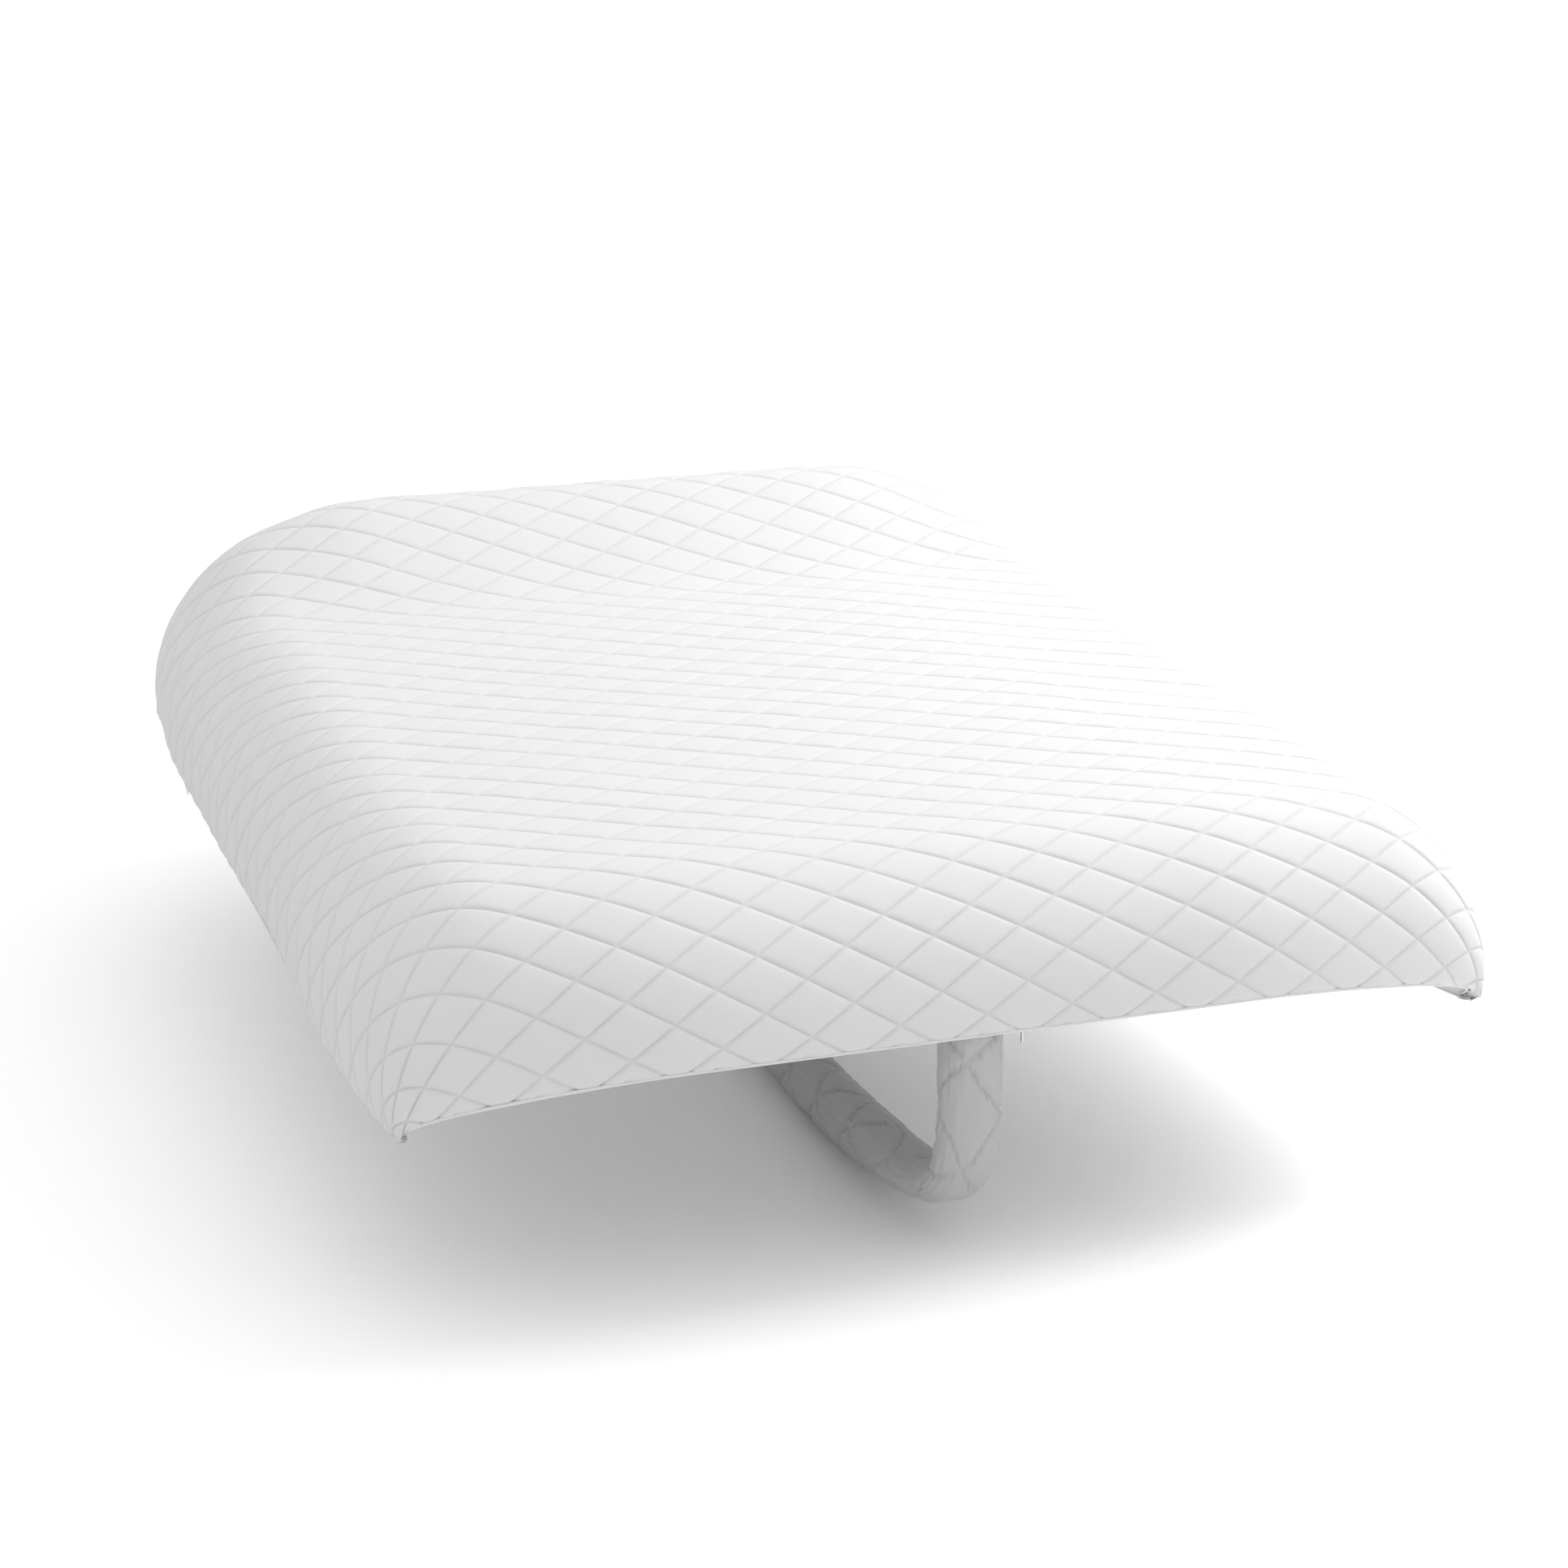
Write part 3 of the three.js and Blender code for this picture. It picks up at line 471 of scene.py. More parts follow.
# %% Sleeve surface
SLEEVE_DIAMOND, SLEEVE_SHIFT, SLEEVE_SEAM_GAP, SLEEVE_SEAM_WIDTH = 0.150, 0.35, 0.085, 0.0036
SLEEVE_PUFF, SLEEVE_FOLD, SLEEVE_SLACK, SLEEVE_FINE = 0.0045, 0.0034, 0.0016, 0.0005
FOLD_SPACING = 0.034
BEND_Y, BEND_REACH, BEND_COLLAPSE = -0.965, 0.15, 0.42
BEND_STATION = float(hose_stations[np.argmin(np.abs(hose_path[:, 1] - BEND_Y))])
HOSE_AROUND, DUCT_AROUND = 128, 64


def groove(distance, width):
    """0 on a stitched line, 1 away from it."""
    return 1 - np.exp(-((distance / width) ** 1.6))


def flattened(stations, turn, collapse):
    """The part of a tube's radius that is left where it flattens in the bend."""
    past_bend = (stations[:, None] - BEND_STATION) / BEND_REACH
    return 1 - collapse * np.exp(-(past_bend**2)) * np.sin(turn) ** 2


def sleeve_radius(turn):
    """The sleeve's radius at each station and turn: slack cloth, quilting and creases."""
    station = hose_stations[:, None]
    round_place = turn * HOSE_RADIUS
    wobble = 0.010 * np.sin(2 * turn + 9 * station) + 0.006 * soft_noise(station, turn, 0.06, 3.1)
    lengthwise = (station + wobble) / SLEEVE_DIAMOND
    u, v = turn / math.pi + lengthwise + SLEEVE_SHIFT, turn / math.pi - lengthwise
    puff = 1.0
    for seam_number in (u, v):
        from_seam = np.abs(seam_number - np.round(seam_number)) * SLEEVE_SEAM_GAP
        puff = puff * groove(from_seam, SLEEVE_SEAM_WIDTH)
    inner = np.clip(np.sin(turn), 0, 1) ** 0.7
    turning = np.clip(hose_bend / hose_bend.max(), 0, 1)[:, None]
    folds = np.sin(2 * math.pi * station / FOLD_SPACING + 2.2 * np.sin(3 * turn)) * inner * turning
    slack = soft_noise(station + 0.2 * np.cos(turn), 0.6 * np.sin(turn), 0.055, 1.7)
    fine = soft_noise(station, round_place, 0.022, 5.3)
    loose = HOSE_RADIUS - 0.0055 + SLEEVE_PUFF * puff + SLEEVE_FOLD * folds
    loose = loose + SLEEVE_SLACK * slack + SLEEVE_FINE * fine
    return loose * flattened(hose_stations, turn, BEND_COLLAPSE)


sleeve_points = tube_points(hose_path, HOSE_AROUND, sleeve_radius)
sleeve_quads = grid_quads(len(hose_path), HOSE_AROUND, wrap=True)
sleeve_mesh = mesh_from("hose_sleeve", sleeve_points, sleeve_quads)
print("sleeve box", sleeve_points.min(0).round(3), sleeve_points.max(0).round(3))

# %% Sleeve places on the flat cloth
flat_turn = np.linspace(0, 2 * math.pi, HOSE_AROUND, endpoint=False)[None, :]
flat_station = hose_stations[:, None]
store_place(sleeve_mesh, "cloth_place", flat_turn * HOSE_RADIUS, flat_station)
lengthwise = flat_station / SLEEVE_DIAMOND
store_place(sleeve_mesh, "quilt_place", flat_turn / math.pi + lengthwise + SLEEVE_SHIFT,
            flat_turn / math.pi - lengthwise)
hose_sleeve = add_piece(
    "quilted_hose_sleeve", sleeve_mesh, "duvet", ["hose_sleeve"], sleeve_cloth_with_painted_shade)
thicken(hose_sleeve, 0.0015)

# %% [markdown]
# The duct inside the sleeve is a thin plastic tube held open by a wire that winds round it, so its
# wall rises and falls in a fine spiral. It only shows at the ends, where clamps hold it.

# %% Duct
DUCT_RADIUS, RIB_HEIGHT, RIB_PITCH, DUCT_EXTRA_COLLAPSE = 0.0365, 0.0009, 0.010, 0.08
duct_path, duct_stations = smooth_path(HOSE_POINTS, DUCT_STEP)
duct_path, duct_stations = duct_path[3:], duct_stations[3:]


def duct_radius(turn):
    """A spiral rib with a 10 mm pitch."""
    phase = 2 * math.pi * duct_stations[:, None] / RIB_PITCH + turn
    ribbed = DUCT_RADIUS - RIB_HEIGHT + RIB_HEIGHT * np.sin(phase)
    return ribbed * flattened(duct_stations, turn, BEND_COLLAPSE + DUCT_EXTRA_COLLAPSE)


duct_points = tube_points(duct_path, DUCT_AROUND, duct_radius)
duct_mesh = mesh_from("hose_duct", duct_points, grid_quads(len(duct_path), DUCT_AROUND, wrap=True))
hose_duct = add_piece("ribbed_hose_duct", duct_mesh, "duvet", ["hose_duct"], duct_look)
thicken(hose_duct, 0.0008)

# %% [markdown]
# ## Turned fittings
# The inlet and the coupling are round mouldings. Each is a profile turned about its own axis, with
# enough steps to look round, and a bevel that catches light on its edges as a moulding's does.

# %% Turning helper
TURN_SIDES = 96
SHARP_ANGLE = math.radians(40)


def turned(name, profile, centre, axis, body, nodes, look, bevel=0.0006):
    """A closed profile of (radius, height) in metres, turned about an axis through centre."""
    around = np.linspace(0, 2 * math.pi, TURN_SIDES, endpoint=False)
    points = [(r * math.cos(a), r * math.sin(a), h) for r, h in profile for a in around]
    mesh = mesh_from(name, points, ring_quads(len(profile), TURN_SIDES))
    mesh.transform(turned_to(axis, centre))
    piece = add_piece(name, mesh, body, nodes, look)
    round_edges(piece, bevel)
    mesh.set_sharp_from_angle(angle=SHARP_ANGLE)
    reshape(mesh, lambda work: bmesh.ops.recalc_face_normals(work, faces=work.faces))
    return piece


INLET = (*HOSE_START[:2], 0)
print("inlet", INLET)

# %% Inlet flange, seal, nut and clamp
flange_low, flange_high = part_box("inlet_flange")
spigot_end, flange_top = flange_low.z, flange_high.z
seal_low, seal_high = [corner.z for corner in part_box("inlet_seal")]
nut_low, nut_high = [corner.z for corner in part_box("inlet_nut")]
clamp_low, clamp_high = [corner.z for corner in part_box("inlet_clamp")]
BORE, SPIGOT, THREAD_BORE, NUT_RADIUS = 0.030, 0.033, 0.0335, 0.040
UP = (0, 0, 1)
turned("inlet_flange_moulding", [
    (BORE, spigot_end), (0.0325, spigot_end), (SPIGOT, spigot_end + 0.002),
    (SPIGOT, flange_top - 0.0024), (0.037, flange_top - 0.0024), (0.037, flange_top),
    (BORE, flange_top)], INLET, UP, "duvet", ["inlet_flange"], plastic_look)
turned("inlet_washer", [
    (THREAD_BORE, seal_low), (0.037, seal_low), (0.037, seal_high), (THREAD_BORE, seal_high)],
    INLET, UP, "duvet", ["inlet_seal"], rubber_look, bevel=0.0002)
turned("inlet_ring_nut", [
    (THREAD_BORE, nut_low), (0.0385, nut_low), (NUT_RADIUS, nut_low + 0.0015),
    (NUT_RADIUS, nut_high), (THREAD_BORE, nut_high)],
    INLET, UP, "duvet", ["inlet_nut"], plastic_look)


def band_profile(low, high, bore=0.037, radius=0.040):
    """A clamp band with a raised rib at each rim."""
    return [(bore, low), (radius, low), (radius, low + 0.0015), (radius - 0.0012, low + 0.002),
            (radius - 0.0012, high - 0.002), (radius, high - 0.0015), (radius, high), (bore, high)]


turned("inlet_clamp_band", band_profile(clamp_low, clamp_high), INLET, UP,
       "duvet", ["inlet_clamp"], metal_look, bevel=0.0003)

# %% Coupling body, clamp, O-ring and grip ring
COUPLING = HOSE_POINTS[-1]
FORWARD = (0, 1, 0)
coupling_body = turned("coupling_moulding", [
    (BORE, -0.052), (0.0325, -0.052), (SPIGOT, -0.050), (SPIGOT, 0.0005), (0.048, 0.0005),
    (0.048, 0.0065), (0.039, 0.0065), (0.039, 0.0329), (0.0369, 0.0329), (0.0369, 0.0371),
    (0.039, 0.0371), (0.039, 0.0425), (0.037, 0.0445), (BORE, 0.0445)],
    COUPLING, FORWARD, "duvet", ["coupling_body"], plastic_look)
end_clamp = turned("end_clamp_band", band_profile(-0.025, -0.016), COUPLING, FORWARD,
                   "duvet", ["end_clamp"], metal_look, bevel=0.0003)
CORD_RADIUS, CORD_STEPS = 0.0016, 14
seal_section = [(0.0390 + CORD_RADIUS * math.cos(a), 0.0350 + CORD_RADIUS * math.sin(a))
                for a in np.linspace(0, 2 * math.pi, CORD_STEPS, endpoint=False)]
coupling_seal = turned("coupling_o_ring", seal_section, COUPLING, FORWARD,
                       "duvet", ["coupling_seal"], rubber_look, bevel=0.0001)

# %% Grip ring with finger grips
GRIPS, RING_RADIUS, RING_BORE = 12, 0.052, 0.0395
GRIP_SHAPE = [(0.0, 0), (0.18, 0), (0.36, 0), (0.5, 0), (0.58, 0.001), (0.66, 0.002),
              (0.78, 0.0025), (0.9, 0.002), (0.96, 0.001)]
grip_outline = [((grip + part) * 2 * math.pi / GRIPS, RING_RADIUS - depth)
                for grip in range(GRIPS) for part, depth in GRIP_SHAPE]
grip_points = []
for height, inset in ((0.007, 0.001), (0.008, 0), (0.030, 0), (0.031, 0.001)):
    grip_points += [((r - inset) * math.cos(a), (r - inset) * math.sin(a), height) for a, r in grip_outline]
for height in (0.031, 0.007):
    grip_points += [(RING_BORE * math.cos(a), RING_BORE * math.sin(a), height) for a, _ in grip_outline]
grip_mesh = mesh_from("grip_ring", grip_points, ring_quads(6, len(grip_outline)))
grip_mesh.transform(turned_to(FORWARD, COUPLING))
grip_mesh.set_sharp_from_angle(angle=SHARP_ANGLE)
grip_ring = add_piece(
    "coupling_grip_ring", grip_mesh, "grip_ring", ["coupling_ring"], plastic_look)

# %% [markdown]
# ## The draped form
# The duvet is one piece of cloth 2.05 m wide and 2.29 m long. A place on the flat cloth is given by
# two lengths, across from the centre line and along from the foot line. The drape turns them into
# a place on the bed: flat on the mattress, round a bend at each edge, then hanging. It rises over
# the pillows, and its corners pull in and droop. Depth goes from 0 outside to 1 on the underside.

# %% Drape sizes
FLAT_HALF_WIDTH, FOOT_LINE_Y, HEAD_LINE_Y = 0.663, -0.899, 0.685
SIDE_BEND, FOOT_BEND, HEAD_BEND, HANG_ANGLE = 0.208, 0.220, 0.338, 1.66
SIDE_CLOTH, FOOT_CLOTH, HEAD_CLOTH = 0.360, 0.350, 0.360
FOOT_LOFT, LOFT_RISE, LOFT_START_Y, LOFT_END_Y = 0.068, 0.041, -1.030, 0.370
CORNER_FALL = 0.222
PILLOW_RISE, PILLOW_START_Y, PILLOW_FULL_Y = 0.134, 0.381, 0.784
PILLOW_HALF_WIDTH, PILLOW_FADE = 0.450, 0.583
HEAD_SAG, HEAD_SAG_ALONG, FOOT_SAG, FOOT_SAG_ALONG, SAG_ACROSS = 0.128, 0.555, 0.096, 0.992, 0.656
CORNER_PULL_X, CORNER_PULL_Y, CORNER_PULL_REACH = 0.068, 0.119, 0.327
SIDE_WALL, FOOT_WALL, HEAD_WALL, SIDE_PINCH, PINCH_REACH = 0.060, 0.100, 0.080, 0.45, 0.130
HALF_CLOTH = FLAT_HALF_WIDTH + SIDE_CLOTH
FLAT_LENGTH = HEAD_LINE_Y - FOOT_LINE_Y
FOOT_HEM, HEAD_HEM = -FOOT_CLOTH, FLAT_LENGTH + HEAD_CLOTH
CLOTH_SIZE = (2 * HALF_CLOTH, HEAD_HEM - FOOT_HEM)
print("cloth", [round(v, 3) for v in CLOTH_SIZE])

# %% Drape formula
def square(t):
    """Rises as a square from 0 to 1, and is level outside."""
    return np.clip(t, 0, 1) ** 2


def smooth(t):
    """Rises smoothly from 0 to 1, and is level outside."""
    return square(t) * (3 - 2 * np.clip(t, 0, 1))


def bend(past, radius):
    """Angle, run and drop of cloth that has gone a length past an edge."""
    angle = np.clip(past / radius, 0, HANG_ANGLE)
    straight = np.maximum(past - radius * HANG_ANGLE, 0)
    run = radius * np.sin(angle) + straight * math.cos(HANG_ANGLE)
    drop = radius * (1 - np.cos(angle)) + straight * math.sin(HANG_ANGLE)
    return angle, run, drop


def drape(across, along, depth):
    """Places on the draped duvet, from lengths on the flat cloth and a depth."""
    width = np.abs(across)
    side_angle, side_run, side_drop = bend(np.maximum(width - FLAT_HALF_WIDTH, 0), SIDE_BEND)
    foot_angle, foot_run, foot_drop = bend(np.maximum(-along, 0), FOOT_BEND)
    head_angle, head_run, head_drop = bend(np.maximum(along - FLAT_LENGTH, 0), HEAD_BEND)
    reach = CORNER_PULL_REACH
    pull_side = square((width - FLAT_HALF_WIDTH + reach) / (SIDE_CLOTH + reach))
    pull_foot = square((reach - along) / (FOOT_CLOTH + reach))
    pull_head = square((along - FLAT_LENGTH + reach) / (HEAD_CLOTH + reach))
    x = np.minimum(width, FLAT_HALF_WIDTH) + side_run - CORNER_PULL_X * pull_side * (pull_foot + pull_head)
    y = FOOT_LINE_Y + np.clip(along, 0, FLAT_LENGTH) - foot_run + head_run
    y = y + CORNER_PULL_Y * pull_side * (pull_foot - pull_head)
    end_drop = foot_drop + head_drop
    drop = side_drop + end_drop - side_drop * end_drop / CORNER_FALL
    sag_head = HEAD_SAG * square((along - HEAD_HEM + HEAD_SAG_ALONG) / HEAD_SAG_ALONG)
    sag_foot = FOOT_SAG * square((FOOT_HEM + FOOT_SAG_ALONG - along) / FOOT_SAG_ALONG)
    sag = square((width - HALF_CLOTH + SAG_ACROSS) / SAG_ACROSS) * (sag_head + sag_foot)
    loft = FOOT_LOFT + LOFT_RISE * np.clip((y - LOFT_START_Y) / (LOFT_END_Y - LOFT_START_Y), 0, 1)
    pillow = smooth((y - PILLOW_START_Y) / (PILLOW_FULL_Y - PILLOW_START_Y))
    lift = PILLOW_RISE * pillow * (1 - smooth((x - PILLOW_HALF_WIDTH) / PILLOW_FADE))
    z = loft + lift - drop - sag
    pinch = SIDE_PINCH + (1 - SIDE_PINCH) * smooth((HALF_CLOTH - width) / PINCH_REACH)
    x = x - depth * SIDE_WALL * pinch * np.sin(side_angle)
    y = y + depth * (FOOT_WALL * np.sin(foot_angle) - HEAD_WALL * np.sin(head_angle))
    z = z - depth * loft * np.cos(side_angle) * np.cos(foot_angle) * np.cos(head_angle)
    return np.stack([x * np.sign(across), y, z], -1)


print("foot middle", drape(np.array([0.0]), np.array([FOOT_HEM]), 0.0).round(3))

# %% [markdown]
# The four corners of the cover are cut round before they are sewn, so that they turn out as soft
# ears and not as points. In the flat cloth, each corner square is squeezed into a quarter disc.
# Quilting lines near a corner then draw together towards it, as they do on the real cover.

# %% Rounded corners
CORNER_ROUND = 0.060
SHORT_STEP = 0.010


def rounded(across, along, inset=0.0):
    """Moves flat cloth places near a corner so that the corner becomes a quarter circle."""
    half, foot, head = HALF_CLOTH - inset, FOOT_HEM + inset, HEAD_HEM - inset
    middle = (foot + head) / 2
    s = np.clip((np.abs(across) - half + CORNER_ROUND) / CORNER_ROUND, 0, 1)
    t = np.clip((np.abs(along - middle) - (head - foot) / 2 + CORNER_ROUND) / CORNER_ROUND, 0, 1)
    reach = np.maximum(s, t)
    least = np.minimum(s, t)
    angle = math.pi / 4 * np.divide(least, reach, out=np.zeros_like(reach), where=reach > 0)
    long_side, short_side = reach * np.cos(angle), reach * np.sin(angle)
    new_s = np.where(s >= t, long_side, short_side)
    new_t = np.where(s >= t, short_side, long_side)
    new_across = across + np.sign(across) * (new_s - s) * CORNER_ROUND
    new_along = along + np.sign(along - middle) * (new_t - t) * CORNER_ROUND
    return new_across, new_along


def outward(across, along):
    """The cover's outward direction, from two short steps on the cloth."""
    left = np.maximum(across - SHORT_STEP, -HALF_CLOTH)
    right = np.minimum(across + SHORT_STEP, HALF_CLOTH)
    low = np.maximum(along - SHORT_STEP, FOOT_HEM)
    high = np.minimum(along + SHORT_STEP, HEAD_HEM)
    over = drape(right, along, 0.0) - drape(left, along, 0.0)
    up = drape(across, high, 0.0) - drape(across, low, 0.0)
    return unit(np.cross(over, up))


print("outward at the middle", outward(np.array([0.1]), np.array([0.8])).round(2))

# %% [markdown]
# ## The quilted cover
# The cover is stitched in diamonds 129 mm across and 78 mm along. A mesh shows a seam cleanly only
# if its edges run along the seam, so the grid here isn't square: it is made of the same slanted
# diamonds, with its lines packed close on each side of every seam. The jagged rim is then cut
# straight at the hem. The height over the drape is a narrow groove at each seam and a low dome
# between them.

# %% Diamond grid on the flat cloth
DIAMOND_ACROSS, DIAMOND_ALONG = 0.12906, 0.07832
SHIFT_ACROSS, SHIFT_ALONG = 0.0043, 0.0072
LINE_SPACING = 1 / math.hypot(1 / DIAMOND_ACROSS, 1 / DIAMOND_ALONG)
SEAM_STEPS = [0, 0.022, 0.050, 0.090, 0.150, 0.250, 0.5, 0.750, 0.850, 0.910, 0.950, 0.978]


def diamond_lines(low, high):
    """Grid lines from one seam number to another, packed beside each seam."""
    return np.array([whole + part for whole in range(low, high) for part in SEAM_STEPS] + [high])


u_low = math.floor(-HALF_CLOTH / DIAMOND_ACROSS + FOOT_HEM / DIAMOND_ALONG) - 1
u_high = math.ceil(HALF_CLOTH / DIAMOND_ACROSS + HEAD_HEM / DIAMOND_ALONG) + 1
u_lines = diamond_lines(u_low, u_high)
v_lines = diamond_lines(-u_high, -u_low)
u_all, v_all = [a.ravel() for a in np.meshgrid(u_lines, v_lines, indexing="ij")]
across_all = DIAMOND_ACROSS * (u_all + v_all) / 2 - SHIFT_ACROSS
along_all = DIAMOND_ALONG * (u_all - v_all) / 2 - SHIFT_ALONG
inside = (np.abs(across_all) <= HALF_CLOTH) & (along_all >= FOOT_HEM) & (along_all <= HEAD_HEM)
all_quads = grid_quads(len(u_lines), len(v_lines))
kept_quads = all_quads[inside[all_quads].any(axis=1)]
used, compact = np.unique(kept_quads, return_inverse=True)
flat_points = np.stack([across_all[used], along_all[used], np.zeros(len(used))], -1)
print("diamond grid", len(used), "points", len(kept_quads), "faces")

# %% Cut the rim at the hem
flat_mesh = mesh_from("flat_cover", flat_points, compact.reshape(-1, 4))
HEM_PLANES = [((HALF_CLOTH, 0, 0), (1, 0, 0)), ((-HALF_CLOTH, 0, 0), (-1, 0, 0)),
              ((0, HEAD_HEM, 0), (0, 1, 0)), ((0, FOOT_HEM, 0), (0, -1, 0))]


def cut_at_hem(work):
    """Cuts off what lies past each hem, then joins points that fall together."""
    for point, normal in HEM_PLANES:
        everything = work.verts[:] + work.edges[:] + work.faces[:]
        bmesh.ops.bisect_plane(
            work, geom=everything, dist=1e-5, plane_co=point, plane_no=normal, clear_outer=True)
    bmesh.ops.remove_doubles(work, verts=work.verts[:], dist=2e-5)


reshape(flat_mesh, cut_at_hem)
flat = np.empty(len(flat_mesh.vertices) * 3)
flat_mesh.vertices.foreach_get("co", flat)
flat_across, flat_along = flat.reshape(-1, 3)[:, :2].T
print("cover", len(flat_across), "points")

# %% Quilting height
SEAM_DEPTH, SEAM_WIDTH, DOME_HEIGHT = 0.0016, 0.0027, 0.0023


def quilt_place(across, along):
    """Seam numbers of a place: whole numbers lie on seams."""
    sideways = (across + SHIFT_ACROSS) / DIAMOND_ACROSS
    lengthways = (along + SHIFT_ALONG) / DIAMOND_ALONG
    return sideways + lengthways, sideways - lengthways


def quilt_height(across, along):
    """Height of the puffed cover over its seams."""
    u, v = quilt_place(across, along)
    from_u, from_v = [np.abs(n - np.round(n)) * LINE_SPACING for n in (u, v)]
    shoulder = groove(from_u, SEAM_WIDTH) * groove(from_v, SEAM_WIDTH)
    dome = np.sqrt(np.abs(np.sin(math.pi * u) * np.sin(math.pi * v)))
    fullness = 1 + 0.22 * soft_noise(np.floor(u) * 0.7, np.floor(v) * 0.7, 1.0, 0.3)
    return (SEAM_DEPTH * shoulder + DOME_HEIGHT * dome) * fullness


puffed = quilt_height(flat_across, flat_along)
print("height range", puffed.min(), puffed.max())

# %% [markdown]
# Near each foot corner the hem gathers: cloth from two edges meets in one ear, and small folds run
# out of the tip. Everywhere else the cover has only long, low swells where the filling is uneven.

# %% Folds and swells
ROLL_REACH, ROLL_FALL = 0.018, 0.0030
COVER_CLEARANCE = 0.001


def corner_distance(across, along):
    """How far a place is from the nearest corner of the flat cloth."""
    middle = (FOOT_HEM + HEAD_HEM) / 2
    return np.hypot(HALF_CLOTH - np.abs(across), (HEAD_HEM - FOOT_HEM) / 2 - np.abs(along - middle))


def from_hem(across, along):
    """How far a place is from the nearest edge of the flat cloth."""
    return np.minimum(HALF_CLOTH - np.abs(across), np.minimum(along - FOOT_HEM, HEAD_HEM - along))


def ear_folds(across, along):
    """Small folds that fan out from the foot corners and, lower, from the head corners."""
    height = np.zeros_like(across)
    for sign in (-1, 1):
        for hem, inward, strength in ((FOOT_HEM, 1, 0.0042), (HEAD_HEM, -1, 0.0030)):
            out_x = (HALF_CLOTH - sign * across) + 0.015
            out_y = (along - hem) * inward + 0.015
            distance = np.hypot(out_x, out_y)
            angle = np.arctan2(out_y, out_x)
            fan = np.sin(17 * angle + 1.3 * sign + 9 * distance) + 0.5 * np.sin(31 * angle + 2 + sign)
            height += strength * fan * np.exp(-((distance - 0.035) / 0.055) ** 2)
    return height * np.clip(from_hem(across, along) / 0.020, 0, 1)


def ear_bulge(across, along):
    """The filling makes each corner a soft, round ear; the seam at the hem stays put."""
    fullness = 0.011 * np.exp(-((corner_distance(across, along) - 0.050) / 0.060) ** 2)
    return fullness * np.sqrt(np.clip(from_hem(across, along) / 0.030, 0, 1))


def swells(across, along):
    """Long, low swells of the filling."""
    return 0.0030 * soft_noise(across, along, 0.34, 2.2) + 0.0012 * soft_noise(across, along, 0.13, 6.1)


def hem_roll(across, along):
    """How far the cover sinks towards its outer seam."""
    part = 1 - np.clip(from_hem(across, along) / ROLL_REACH, 0, 1)
    return ROLL_FALL * (1 - np.sqrt(1 - part**2))


# %% Drape the cover
place_across, place_along = rounded(flat_across, flat_along)
cover_height = puffed + COVER_CLEARANCE - hem_roll(flat_across, flat_along)
for rise in (ear_folds, ear_bulge, swells):
    cover_height += rise(flat_across, flat_along)
cover_points = drape(place_across, place_along, 0.0)
cover_points += outward(place_across, place_along) * cover_height[:, None]
flat_mesh.vertices.foreach_set("co", cover_points.ravel())
flat_mesh.update()
flat_mesh.shade_smooth()
store_place(flat_mesh, "cloth_place", flat_across, flat_along)
store_place(flat_mesh, "quilt_place", *quilt_place(flat_across, flat_along))
quilted_cover = add_piece(
    "quilted_top_cover", flat_mesh, "duvet", ["top_cover"], quilt_cloth)
thicken(quilted_cover, 0.0015)
print("cover box", cover_points.min(0).round(3), cover_points.max(0).round(3))

# %% [markdown]
# ## The wadding and the air layer
# Under the cover lie two soft layers. They never show from outside, but they hold the cover out
# and keep the duvet's weight. Each is a closed pad whose rim rounds off, made as an upper and a
# lower grid that meet at the rim.

# %% Soft pads
PAD_STEP, PAD_INSET, PAD_RIPPLE = 0.018, 0.030, 0.010


def soft_pad(name, top_depth, low_depth, corner, nodes, look):
    """A closed pad of the draped form between two depths, with a rounded rim."""
    inset = PAD_INSET
    columns = int(2 * (HALF_CLOTH - inset) / PAD_STEP)
    rows = int((HEAD_HEM - FOOT_HEM - 2 * inset) / PAD_STEP)
    across, along = np.meshgrid(
        np.linspace(-HALF_CLOTH + inset, HALF_CLOTH - inset, columns + 1),
        np.linspace(FOOT_HEM + inset, HEAD_HEM - inset, rows + 1))
    near = from_hem(across, along) - inset
    rim = np.sqrt(1 - (1 - np.clip(near / corner, 0, 1)) ** 2)
    middle, half = (top_depth + low_depth) / 2, (low_depth - top_depth) / 2
    a, b = rounded(across, along, inset)
    ripple = PAD_RIPPLE * soft_noise(across, along, 0.09, 4.4)
    top = drape(a, b, middle - half * rim + ripple * rim).reshape(-1, 3)
    low = drape(a, b, middle + half * rim - ripple * rim).reshape(-1, 3)
    quads = grid_quads(rows + 1, columns + 1)
    rim_loop = (near <= 1e-9).ravel()
    joined = np.arange(len(top)) + len(top)
    joined[rim_loop] = np.arange(len(top))[rim_loop]
    mesh = mesh_from(name, np.vstack([top, low]), np.vstack([quads, joined[quads][:, ::-1]]))
    store_place(mesh, "cloth_place", np.tile(a.ravel(), 2), np.tile(b.ravel(), 2))
    reshape(mesh, lambda work: bmesh.ops.delete(
        work, geom=[v for v in work.verts if not v.link_faces], context="VERTS"))
    return add_piece(name, mesh, "duvet", nodes, look)


wadding = soft_pad("wadding_pad", 0.085, 0.51, 0.030, ["fill_layer"], wadding_look)
spacer = soft_pad("air_spacer_pad", 0.555, 0.91, 0.026, ["air_spacer"], spacer_look)

# %% [markdown]
# ## Lining and gussets
# The lining is the plain cloth under the duvet. Between its hem and the cover's runs the gusset, a
# narrow strip that faces down where the duvet hangs. It is made in four strips that meet at the
# corners, and the filling pushes it out a little, except where the zip and the inlet keep it flat.

